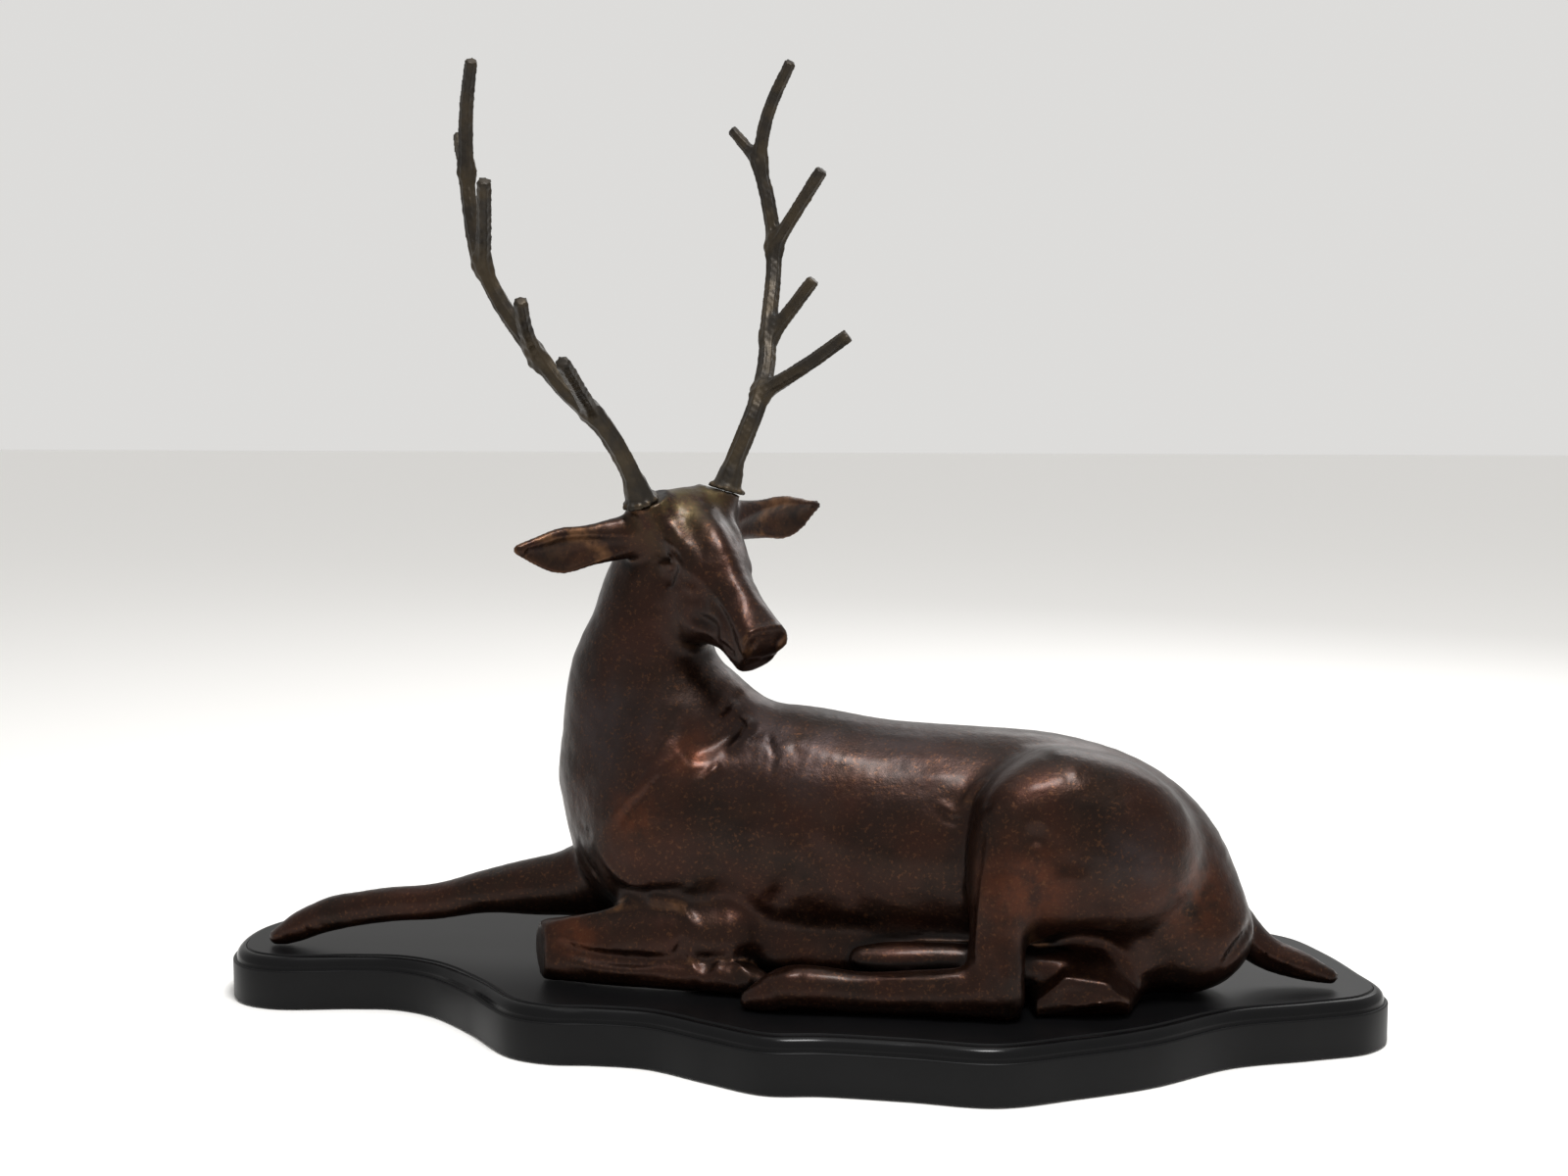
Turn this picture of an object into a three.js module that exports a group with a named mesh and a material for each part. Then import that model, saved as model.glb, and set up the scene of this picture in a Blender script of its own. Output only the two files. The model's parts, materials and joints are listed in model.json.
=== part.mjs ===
import * as THREE from "three";

// Recumbent stag on a wavy board, in millimetres: X towards the tail, Z up, near side towards -Y.
// The forms are laid out round a point near the middle of the board, and everything is moved at the end
// so that the origin is the middle of the underside of the board.

// Board
const BOARD_HEIGHT = 25.5;
const OUTLINE_STEPS = 84;
// Inset from the outline and height, going up: worn bottom corner, side, arris, bead, top
const BOARD_PROFILE = [
  [1, 0],
  [0, 1],
  [0, 18.5],
  [0.8, 19.4],
  [1.8, 19.6],
  [2.3, 22],
  [3.7, 24.1],
  [5.6, 24.9],
  [6.8, 24.8],
  [7.5, BOARD_HEIGHT],
];
// Control points of the sawn outline, near edge first, then the right lobe and the far edge
const OUTLINE = [
  [-285.5, 13], [-275, -2.5], [-256, -9], [-217, -3.8], [-196, -3], [-176, -10.5], [-150, -33],
  [-123, -62], [-103, -68.5], [-84, -67.5], [-58, -69.3], [-29, -83], [-1.5, -94.8],
  [24, -92.9], [60, -94.5], [99, -97.2], [132, -83], [166, -64.8], [203, -36],
  [240, -21.3], [268, -8], [278.5, 10], [272, 38], [262, 68], [247, 95], [220, 109],
  [175, 108], [120, 100], [60, 104], [0, 114], [-60, 117], [-115, 108], [-165, 96],
  [-205, 92], [-245, 90], [-272, 74], [-287, 46],
];

// Casting
const JOINT_GAP = 0.4;
const FLOOR = BOARD_HEIGHT + JOINT_GAP;
const BODY_MID = 12;
const STAG_CELL = 2.6;
const ANTLER_CELL = 1.7;
const STAG_TRIANGLES = 6300;
const ANTLER_TRIANGLES = 780;

// Head: crown between the antlers, turn of the face from straight at the viewer, lean, slope of the face
const CROWN = new THREE.Vector3(-51.8, 3.5, 249.5);
const HEAD_TURN = THREE.MathUtils.degToRad(40.9);
const HEAD_LEAN = THREE.MathUtils.degToRad(5.2);
const FACE_SLOPE = THREE.MathUtils.degToRad(44);
const FACE_SIZE = 45;

// Antlers: forward, outward and up from the crown, then radius
const BEAM = [
  [-1, 22.6, 0, 5.8], [1.5, 28.5, 17, 5.1], [3, 42, 41, 5.1], [-6, 55, 59, 4.9],
  [-15, 64, 77, 4.6], [-23, 74, 99, 4.4], [-28, 80, 120, 4.3], [-31.5, 80.5, 140, 4.1],
  [-34, 79.3, 160, 3.9], [-25, 81, 183, 3.7], [-9, 84, 202.5, 3.3],
];
const TINES = [
  [[1, 46, 47, 4.4], [18, 60, 58, 4], [34, 75, 71, 3.8]],
  [[-14, 63, 72, 4.3], [-5, 72, 86, 3.9], [5, 78, 98, 3.7]],
  [[-28, 79, 116, 4.2], [-13, 83.5, 132, 3.8], [3, 89, 150, 3.7]],
  [[-34, 79, 158, 3.6], [-43, 77, 168, 3.3], [-49, 74.5, 175.5, 3]],
];
const SEAT_HEIGHT = 3;
const SEAT_REACH = 14;
// Where a tip is cut off: share of its radius beyond its last point, and how far the cut reaches
const TIP_SHARE = 0.5;
const TIP_REACH = 8;

// Colours
const IRON = { color: 0x35241c, roughness: 0.42, metalness: 0.75 };
const ANTLER_METAL = { color: 0x2c261c, roughness: 0.48, metalness: 0.75 };
const LACQUER = { color: 0x0d0d0e, roughness: 0.38, metalness: 0 };

// Frames of the head
const forward = new THREE.Vector3(Math.sin(HEAD_TURN), -Math.cos(HEAD_TURN), 0);
const level = new THREE.Vector3(Math.cos(HEAD_TURN), Math.sin(HEAD_TURN), 0);
const lateral = level.clone().multiplyScalar(Math.cos(HEAD_LEAN));
lateral.z = Math.sin(HEAD_LEAN);
const upright = level.clone().multiplyScalar(-Math.sin(HEAD_LEAN));
upright.z = Math.cos(HEAD_LEAN);
const alongFace = new THREE.Vector3()
  .addScaledVector(forward, Math.cos(FACE_SLOPE))
  .addScaledVector(upright, -Math.sin(FACE_SLOPE));
const intoFace = new THREE.Vector3()
  .addScaledVector(forward, -Math.sin(FACE_SLOPE))
  .addScaledVector(upright, -Math.cos(FACE_SLOPE));
const poll = crownPoint(1, 0, 3.7);

function crownPoint(ahead, out, up) {
  return CROWN.clone()
    .addScaledVector(forward, ahead)
    .addScaledVector(lateral, out)
    .addScaledVector(upright, up);
}

// Joins two distances with a fillet of about k
function blend(a, b, k) {
  if (k <= 0) return Math.min(a, b);
  const h = Math.min(Math.max(0.5 + (0.5 * (b - a)) / k, 0), 1);
  return b * (1 - h) + a * h - k * h * (1 - h);
}

// A tapering limb of oval section through stations [x, y, z, half-width, half-height]
function limb(stations, up = [0, 0, 1], steps = 4) {
  const path = new THREE.CatmullRomCurve3(
    stations.map((s) => new THREE.Vector3(s[0], s[1], s[2])),
    false,
    "catmullrom",
    0.5,
  );
  const radii = new THREE.CatmullRomCurve3(
    stations.map((s) => new THREE.Vector3(s[3], s[4] ?? s[3], 0)),
    false,
    "catmullrom",
    0.5,
  );
  const count = stations.length > 2 ? (stations.length - 1) * steps : 1;
  const upward = new THREE.Vector3(...up);
  const box = new THREE.Box3();
  const parts = [];
  for (let i = 0; i < count; i++) {
    const a = path.getPoint(i / count);
    const b = path.getPoint((i + 1) / count);
    const ra = radii.getPoint(i / count);
    const rb = radii.getPoint((i + 1) / count);
    const axis = b.clone().sub(a);
    const length2 = axis.lengthSq();
    axis.normalize();
    const side = axis.clone().cross(upward).normalize();
    const rise = side.clone().cross(axis);
    const reach = Math.max(ra.x, ra.y, rb.x, rb.y);
    box.union(new THREE.Box3().setFromPoints([a, b]).expandByScalar(reach));
    parts.push({
      a, ra, rb, axis, side, rise, length2, reach,
      ab: b.clone().sub(a),
      middle: a.clone().lerp(b, 0.5),
      half: Math.sqrt(length2) / 2,
    });
  }
  let active = parts;
  const focus = (centre, radius) => {
    const far = parts.map((s) => s.middle.distanceTo(centre) - s.half - s.reach);
    const nearest = Math.min(...far);
    active = parts.filter((s, i) => far[i] < nearest + 2 * radius + 2 * s.reach);
  };
  const at = (x, y, z) => {
    let best = Infinity;
    for (const s of active) {
      const qx = x - s.a.x;
      const qy = y - s.a.y;
      const qz = z - s.a.z;
      const dot = qx * s.ab.x + qy * s.ab.y + qz * s.ab.z;
      const t = Math.min(Math.max(dot / s.length2, 0), 1);
      const ex = qx - t * s.ab.x;
      const ey = qy - t * s.ab.y;
      const ez = qz - t * s.ab.z;
      const rs = s.ra.x + t * (s.rb.x - s.ra.x);
      const ru = s.ra.y + t * (s.rb.y - s.ra.y);
      const rz = Math.min(rs, ru);
      const u = (ex * s.side.x + ey * s.side.y + ez * s.side.z) / rs;
      const v = (ex * s.rise.x + ey * s.rise.y + ez * s.rise.z) / ru;
      const w = (ex * s.axis.x + ey * s.axis.y + ez * s.axis.z) / rz;
      const k0 = Math.hypot(u, v, w);
      const k1 = Math.hypot(u / rs, v / ru, w / rz);
      best = Math.min(best, k1 > 1e-9 ? (k0 * (k0 - 1)) / k1 : -rz);
    }
    return best;
  };
  return { at, box, focus };
}

// An ellipsoid, turned about Y by pitch degrees
function ellipsoid([cx, cy, cz], [rx, ry, rz], pitch = 0) {
  const c = Math.cos(THREE.MathUtils.degToRad(pitch));
  const s = Math.sin(THREE.MathUtils.degToRad(pitch));
  const reach = Math.max(rx, ry, rz);
  const box = new THREE.Box3(
    new THREE.Vector3(cx - reach, cy - reach, cz - reach),
    new THREE.Vector3(cx + reach, cy + reach, cz + reach),
  );
  const at = (x, y, z) => {
    const u = ((x - cx) * c - (z - cz) * s) / rx;
    const v = (y - cy) / ry;
    const w = ((x - cx) * s + (z - cz) * c) / rz;
    const k0 = Math.hypot(u, v, w);
    const k1 = Math.hypot(u / rx, v / ry, w / rz);
    return k1 > 1e-9 ? (k0 * (k0 - 1)) / k1 : -Math.min(rx, ry, rz);
  };
  return { at, box };
}

// A half space on the near side of a plane, kept to a ball round its point
function planeCap(point, normal, reach) {
  const box = new THREE.Box3().setFromCenterAndSize(
    point,
    new THREE.Vector3(reach, reach, reach).multiplyScalar(2),
  );
  const at = (x, y, z) => {
    const dx = x - point.x;
    const dy = y - point.y;
    const dz = z - point.z;
    const beyond = dx * normal.x + dy * normal.y + dz * normal.z;
    return Math.max(-beyond, Math.hypot(dx, dy, dz) - reach);
  };
  return { at, box };
}

// A lump cut in flats: what lies inside all of its planes, each [x, y, z, distance from the centre]
function faceted([cx, cy, cz], flats) {
  const planes = flats.map(([x, y, z, height]) => {
    const size = Math.hypot(x, y, z);
    return [x / size, y / size, z / size, height];
  });
  const reach = 3.2 * Math.max(...flats.map((flat) => flat[3]));
  const box = new THREE.Box3().setFromCenterAndSize(
    new THREE.Vector3(cx, cy, cz),
    new THREE.Vector3(reach, reach, reach),
  );
  const at = (x, y, z) => {
    const beyond = planes.map(([nx, ny, nz, height]) => (x - cx) * nx + (y - cy) * ny + (z - cz) * nz - height);
    return Math.max(...beyond);
  };
  return { at, box };
}

// A crease or ridge along a line of points: how far the surface moves in at a place
function stroke(points, width, depth) {
  const line = points.map((p) => new THREE.Vector3(...p));
  const box = new THREE.Box3().setFromPoints(line).expandByScalar(2.5 * width);
  const at = (x, y, z) => {
    let best = Infinity;
    for (let i = 0; i + 1 < line.length; i++) {
      const a = line[i];
      const b = line[i + 1];
      const bx = b.x - a.x;
      const by = b.y - a.y;
      const bz = b.z - a.z;
      const qx = x - a.x;
      const qy = y - a.y;
      const qz = z - a.z;
      const dot = (qx * bx + qy * by + qz * bz) / (bx * bx + by * by + bz * bz);
      const t = Math.min(Math.max(dot, 0), 1);
      best = Math.min(best, Math.hypot(qx - t * bx, qy - t * by, qz - t * bz));
    }
    return depth * Math.exp(-((best / width) ** 2));
  };
  return { at, box };
}

// Forms in the face's own frame: down the face, out to either side, into the head
function headForms() {
  const forms = [];
  const add = (form, k) => forms.push({ cut: false, form, k });
  const cut = (form, k) => forms.push({ cut: true, form, k });
  const carve = (points, width, depth) => forms.push({ carve: true, form: stroke(points, width, depth) });
  const facePlane = (s, n, ns, nn) => ({
    at: (x, y, z) => ((s - x) * ns + (n - z) * nn) / Math.hypot(ns, nn),
  });
  // Skull, crown and forehead
  add(ellipsoid([18, 0, 17], [26, 20, 22]), 0);
  add(ellipsoid([4, 0, 9.5], [13, 22, 13]), 8);
  add(ellipsoid([30, 0, 11], [22, 15.5, 17]), 8);
  // Muzzle with its flat bridge, widening to the nose pad
  add(limb([[34, 0, 15, 17, 18], [55, 0, 12.5, 13, 15], [70, 0, 12, 11, 13], [86, 0, 12, 9.5, 11]]), 8);
  add(limb([[48, 0, 7, 10.5, 8], [66, 0, 5.5, 9.5, 6.2], [89, 0, 4.5, 12.3, 5.8]]), 3);
  // Jaw and cheek
  add(limb([[26, 0, 36, 16, 18], [45, 0, 30, 14.5, 16], [65, 0, 21, 11.5, 12], [81, 0, 18.5, 8.5, 8.5]]), 7);
  add(ellipsoid([38, 11.5, 29], [21, 9, 16]), 7);
  // The side of the head sinks in round the eye, and the nose is cut off at its pad
  carve([[20, 22, 18], [28, 21, 15], [37, 19, 14]], 8.5, 2.6);
  cut(facePlane(84.8, -1.5, 0.9, -0.43), 0.8);
  cut(facePlane(88.7, 10, 1, 0.22), 2);
  // Brow, eyeball and the ridge under the eye
  add(limb([[10, 16, 5, 4], [20, 14.8, 4.5, 4.6], [29, 13.2, 5, 4.6], [40, 10.5, 6.5, 4]]), 6);
  add(ellipsoid([27.3, 16.9, 15.5], [6, 3.2, 4]), 0.6);
  carve([[41, 17, 14], [45, 15.5, 12.5], [49, 14.5, 11]], 2.4, -1.3);
  carve([[50, 15, 24], [59, 13.5, 19.5], [70, 12, 14]], 3, 1.2);
  // Nostril and mouth
  carve([[84, 9, 3], [86.5, 7.5, 5.5], [87.5, 5, 5]], 1.8, 1.2);
  carve([[90, 0, 15], [89, 5.5, 15], [85, 8.5, 15.8], [77, 11, 18], [68, 13, 21]], 1.6, 1.4);
  return forms;
}

function head() {
  const forms = headForms();
  const centre = poll.clone().addScaledVector(alongFace, FACE_SIZE).addScaledVector(intoFace, 15);
  const box = new THREE.Box3().setFromCenterAndSize(centre, new THREE.Vector3(124, 124, 124));
  const at = (x, y, z) => {
    const qx = x - poll.x;
    const qy = y - poll.y;
    const qz = z - poll.z;
    const s = qx * alongFace.x + qy * alongFace.y + qz * alongFace.z;
    const w = Math.abs(qx * lateral.x + qy * lateral.y + qz * lateral.z);
    const n = qx * intoFace.x + qy * intoFace.y + qz * intoFace.z;
    let d = 1000;
    for (const { cut, carve, form, k } of forms) {
      const v = form.at(s, w, n);
      if (carve) d += v;
      else d = cut ? -blend(-d, v, k) : blend(d, v, k);
    }
    return d;
  };
  return { at, box };
}

// Where an antler sits: a point on its axis and the axis at the skull
function seat(side) {
  const foot = crownPoint(BEAM[0][0], side * BEAM[0][1], BEAM[0][2]);
  const next = crownPoint(BEAM[1][0], side * BEAM[1][1], BEAM[1][2]);
  const axis = next.sub(foot).normalize();
  return { point: foot.addScaledVector(axis, SEAT_HEIGHT), axis };
}

function stagForms() {
  const forms = [];
  const add = (form, k = 8) => forms.push({ form, k });
  const cut = (form, k = 4) => forms.push({ cut: true, form, k });
  const carve = (points, width, depth) => forms.push({ carve: true, form: stroke(points, width, depth) });
  const m = BODY_MID;

  // Torso, chest to rump
  add(limb([
    [-74, m, 92, 33, 42], [-40, m, 93, 42, 59], [-5, m, 92, 46, 61], [40, m, 87.5, 49, 59],
    [80, m, 87, 51, 57.5], [115, m, 85, 51, 57], [141, 10, 81, 48, 54], [158, 8, 74, 43, 48],
    [172, 6, 63, 34, 40],
  ]), 0);
  // Neck
  add(limb([
    [-54, m, 98, 44, 55], [-62, m, 125, 40, 55], [-70, m, 148, 34, 44], [-73, m, 166, 30, 37],
    [-70.5, 12.5, 186, 27, 30], [-66.5, 13, 205, 25, 27.5], [-62, 13, 222, 22, 24],
  ], [1, 0, 0]), 10);
  // Shoulders, thighs and rump
  add(ellipsoid([-58, -14, 98], [36, 23, 44]), 10);
  add(ellipsoid([-54, 36, 98], [36, 22, 46]), 10);
  add(ellipsoid([138, -20, 95], [49, 34, 43.5], 14), 8);
  add(ellipsoid([122, 34, 78], [46, 30, 42], 12), 10);
  add(ellipsoid([117, -34, 88], [25, 22, 33], -12), 10);
  add(ellipsoid([179, -3, 54], [35, 28, 30]), 8);
  // Lower flank, closing the space behind the folded feet
  add(limb([[-40, -4, 42, 22, 18], [40, -9, 40, 26, 18], [150, -8, 42, 30, 20]]), 10);
  // Near hind leg: shin, hollow under the thigh, folded cannon and hoof
  add(limb([
    [122, -26, 116, 24], [105, -37, 112, 18], [97.5, -46, 90, 14], [96.5, -51, 62, 12.5],
    [97.5, -54, 44, 13.5], [103, -56, 34, 9],
  ], [1, 0, 0]), 12);
  cut(limb([
    [116, -52, 30, 20, 8], [119, -52, 46, 20, 9], [129, -52, 55, 20, 9], [143, -52, 55, 20, 9],
    [154, -52, 48, 18, 9], [161, -52, 36, 16, 8],
  ]), 4);
  add(limb([
    [98, -56, 37.5, 11, 12.5], [70, -57, 36.5, 9, 11], [40, -57, 35, 8, 10], [14, -57, 36.5, 9, 10.5],
    [4, -57, 36, 9.5, 10], [-4, -57, 33, 8.5, 8.5], [-13, -57, 29.5, 5],
  ]), 4);
  // Far hind foot: hock cut in flats and cannon, out under the belly
  add(faceted([135, -40, 36], [
    [0, -1, 0.12, 15], [0, 1, 0, 16], [0, 0, -1, 11], [0.1, -0.35, 1, 11.5], [-0.62, -0.25, 0.8, 14.5],
    [0.72, -0.25, 0.72, 15], [1, -0.3, -0.2, 23], [-1, -0.2, 0, 24], [0.15, -0.8, -0.7, 14],
  ]), 4);
  add(limb([[125, -36, 42, 10], [80, -38, 45, 9], [50, -40, 45, 9], [36, -42, 46, 6.5]]), 2);
  // Near foreleg, folded: upper part with squarish knee, cannon below it
  add(limb([
    [-28, -22, 48, 16, 18], [-60, -24, 47, 14, 17], [-90, -22, 43, 12, 15], [-113, -20, 40.5, 10.5, 13.5],
  ]), 8);
  add(limb([
    [-112, -24, 33, 8], [-80, -31, 33, 7.5], [-45, -34, 33, 7.5], [-20, -37, 33, 8], [-8, -38, 30, 6],
  ]), 3);
  // Far foreleg, stretched forward
  add(limb([
    [-92, 26, 64, 20, 24], [-114, 24.5, 59.5, 15, 17], [-131, 23, 57.5, 13, 14.6], [-156, 21, 54.6, 11, 11],
    [-180, 20, 49.2, 9, 9.2], [-204, 18, 47.2, 8.6, 9], [-219, 17, 45, 8.4, 8.8], [-232, 16, 42.6, 8.8, 9],
    [-241, 15.5, 39.5, 8.4], [-252, 15, 34.5, 7.4], [-262, 14.5, 29.5, 4.8],
  ]), 6);
  // The cut face of the near knee
  cut(planeCap(new THREE.Vector3(-118.5, -22, 44), new THREE.Vector3(-0.86, -0.5, 0.06).normalize(), 26), 1);
  cut(planeCap(new THREE.Vector3(-112, -33, 44), new THREE.Vector3(-0.4, -0.91, 0.05).normalize(), 13), 1.2);
  // Tail
  add(limb([[204, m, 56, 11], [220, 11, 41, 8.5], [237, 9, 35, 7], [250, 7, 31, 4.3]]), 4);
  add(head(), 10);
  for (const side of [-1, 1]) {
    // Pedicle
    const stem = (a, w, h, r) => [...crownPoint(a, side * w, h).toArray(), r];
    add(limb([stem(-3, 14, -8, 12), stem(0, 24, 8, 8.4)]), 8);
    // Ear: a leaf, then its hollow
    const leaf = (a, w, h, thick, wide) => [...crownPoint(a, side * w, h).toArray(), thick, wide];
    add(limb([
      leaf(-6, 20, -12, 8, 11), leaf(-8, 45, -14, 4.5, 10),
      leaf(-10, 64, -15, 4, 10.8), leaf(-12, 83, -12, 2.2, 3),
    ], upright.toArray()), 5);
    cut(limb([
      leaf(1, 33, -16, 3, 4), leaf(-2.5, 48, -16, 4.5, 7),
      leaf(-5.5, 63, -17, 4, 8.5), leaf(-9, 79, -14, 1.5, 2.5),
    ], upright.toArray()), 1.5);
  }
  // Folds and ridges that read from a step away
  carve([[-22, -12, 148], [-32, -19, 143], [-43, -25, 137], [-48, -27, 133]], 6.5, 2.8);
  carve([[-48, -27, 133], [-58, -31, 125], [-66, -33, 116], [-73, -33, 109], [-80, -31, 98]], 3, 1.4);
  carve([[-88, -26, 90], [-83, -30, 82], [-74, -33, 75], [-62, -34, 70], [-50, -35, 71], [-40, -36, 76]], 3, -1.3);
  carve([[84, -38, 118], [80, -40, 104], [79, -41, 82], [79, -38, 58]], 3.4, 2);
  carve([[95, -49, 122], [94, -55, 109], [91, -60, 92], [89, -61, 75], [88, -62, 60], [88, -62, 50]], 2.8, -1.5);
  carve([[69, -33, 114], [75, -35, 109], [82, -34, 110]], 2.4, 1.3);
  carve([[112, -52, 76], [119, -54, 84], [128, -55, 89], [138, -55, 87]], 3, -1.3);
  carve([[212, -7, 61], [205, -20, 53], [197, -24, 43]], 3, 1.6);
  for (const side of [-1, 1]) {
    const joint = seat(side);
    cut(planeCap(joint.point, joint.axis, SEAT_REACH), 0);
  }
  return forms;
}

function antlerForms(side) {
  const along = ([a, w, h, r]) => [...crownPoint(a, side * w, h).toArray(), r];
  const forms = [BEAM, ...TINES].map((rows) => ({
    form: limb(rows.map(along), forward.toArray()),
    k: 3,
  }));
  const joint = seat(side);
  const start = joint.point.clone().addScaledVector(joint.axis, JOINT_GAP);
  const below = joint.axis.clone().negate();
  forms.push({ form: limb([along([-1, 21.8, 0, 8.2]), along([0.5, 25.8, 9, 5.2])]), k: 5 });
  // Every tip is blunt
  for (const rows of [BEAM, ...TINES]) {
    const [before, end] = rows.slice(-2).map((row) => new THREE.Vector3(...along(row)));
    const onward = end.clone().sub(before).normalize();
    const tip = end.clone().addScaledVector(onward, TIP_SHARE * rows.at(-1)[3]);
    forms.push({ cut: true, form: planeCap(tip, onward, TIP_REACH), k: 1 });
  }
  forms.push({ cut: true, form: planeCap(start, below, SEAT_REACH), k: 0 });
  return forms;
}

// The whole shape as one signed distance, with the forms near a block picked out
function clay(forms, floor) {
  let active = forms;
  const focus = (centre, radius) => {
    active = forms.filter(({ form, k = 0 }) => form.box.distanceToPoint(centre) < radius + k + 12);
    for (const { form } of active) if (form.focus) form.focus(centre, radius);
  };
  const at = (x, y, z) => {
    let d = 1000;
    for (const { cut, carve, form, k } of active) {
      const v = form.at(x, y, z);
      if (carve) d += v;
      else d = cut ? -blend(-d, v, k) : blend(d, v, k);
    }
    return Math.max(d, floor - z);
  };
  const box = new THREE.Box3();
  for (const { cut, carve, form } of forms) if (!cut && !carve) box.union(form.box);
  box.min.z = Math.max(box.min.z, floor);
  return { at, box, focus };
}

// Samples a shape on a grid and cuts the surface out of it, six tetrahedra to a cube
function surface(shape, cell) {
  const BLOCK = 8;
  const origin = shape.box.min.clone().subScalar(2 * cell);
  const extent = shape.box.max.clone().sub(origin).addScalar(2 * cell);
  const blocks = extent.toArray().map((e) => Math.ceil(e / (cell * BLOCK)));
  const [nx, ny, nz] = blocks.map((b) => b * BLOCK + 1);
  const field = new Float32Array(nx * ny * nz).fill(NaN);
  const index = (i, j, k) => (i * ny + j) * nz + k;
  const radius = (Math.sqrt(3) / 2) * BLOCK * cell;
  const cubes = [];
  for (let bi = 0; bi < blocks[0]; bi++) {
    for (let bj = 0; bj < blocks[1]; bj++) {
      for (let bk = 0; bk < blocks[2]; bk++) {
        const centre = new THREE.Vector3(bi + 0.5, bj + 0.5, bk + 0.5)
          .multiplyScalar(BLOCK * cell)
          .add(origin);
        shape.focus(centre, radius);
        if (Math.abs(shape.at(centre.x, centre.y, centre.z)) > 1.7 * radius) continue;
        for (let i = bi * BLOCK; i <= (bi + 1) * BLOCK; i++) {
          for (let j = bj * BLOCK; j <= (bj + 1) * BLOCK; j++) {
            for (let k = bk * BLOCK; k <= (bk + 1) * BLOCK; k++) {
              const at = index(i, j, k);
              if (!Number.isNaN(field[at])) continue;
              field[at] = shape.at(origin.x + i * cell, origin.y + j * cell, origin.z + k * cell);
            }
          }
        }
        cubes.push([bi * BLOCK, bj * BLOCK, bk * BLOCK]);
      }
    }
  }
  const corners = [0, 1, 2, 3, 4, 5, 6, 7].map((c) => index(c & 1, (c >> 1) & 1, (c >> 2) & 1));
  const tetrahedra = [[0, 1, 3, 7], [0, 3, 2, 7], [0, 2, 6, 7], [0, 6, 4, 7], [0, 4, 5, 7], [0, 5, 1, 7]];
  const points = [];
  const faces = [];
  const made = new Map();
  const place = (n) => {
    const k = n % nz;
    const j = Math.floor(n / nz) % ny;
    const i = Math.floor(n / (nz * ny));
    return [origin.x + i * cell, origin.y + j * cell, origin.z + k * cell];
  };
  const crossing = (a, b) => {
    const low = Math.min(a, b);
    const high = Math.max(a, b);
    const key = low * 4194304 + (high - low);
    if (made.has(key)) return made.get(key);
    const t = Math.min(Math.max(field[low] / (field[low] - field[high]), 0.04), 0.96);
    const p = place(low);
    const q = place(high);
    points.push(p.map((v, axis) => v + t * (q[axis] - v)));
    made.set(key, points.length - 1);
    return points.length - 1;
  };
  const cutTetrahedron = (t) => {
    const inside = t.filter((n) => field[n] < 0);
    const outside = t.filter((n) => !(field[n] < 0));
    if (inside.length === 0 || outside.length === 0) return;
    let ring;
    if (inside.length === 1) ring = outside.map((o) => crossing(inside[0], o));
    else if (outside.length === 1) ring = inside.map((n) => crossing(n, outside[0]));
    else {
      ring = [
        crossing(inside[0], outside[0]), crossing(inside[0], outside[1]),
        crossing(inside[1], outside[1]), crossing(inside[1], outside[0]),
      ];
    }
    const [a, b, c] = ring.map((n) => points[n]);
    const u = b.map((v, axis) => v - a[axis]);
    const w = c.map((v, axis) => v - a[axis]);
    const normal = [u[1] * w[2] - u[2] * w[1], u[2] * w[0] - u[0] * w[2], u[0] * w[1] - u[1] * w[0]];
    const from = place(inside[0]);
    const to = place(outside[0]);
    const facing = normal.reduce((sum, v, axis) => sum + v * (to[axis] - from[axis]), 0);
    if (facing < 0) ring.reverse();
    faces.push([ring[0], ring[1], ring[2]]);
    if (ring.length === 4) faces.push([ring[0], ring[2], ring[3]]);
  };
  for (const [i0, j0, k0] of cubes) {
    for (let i = i0; i < i0 + BLOCK; i++) {
      for (let j = j0; j < j0 + BLOCK; j++) {
        for (let k = k0; k < k0 + BLOCK; k++) {
          const base = index(i, j, k);
          let count = 0;
          for (const c of corners) if (field[base + c] < 0) count++;
          if (count === 0 || count === 8) continue;
          for (const t of tetrahedra) cutTetrahedron(t.map((c) => base + corners[c]));
        }
      }
    }
  }
  return { points, faces };
}

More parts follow.
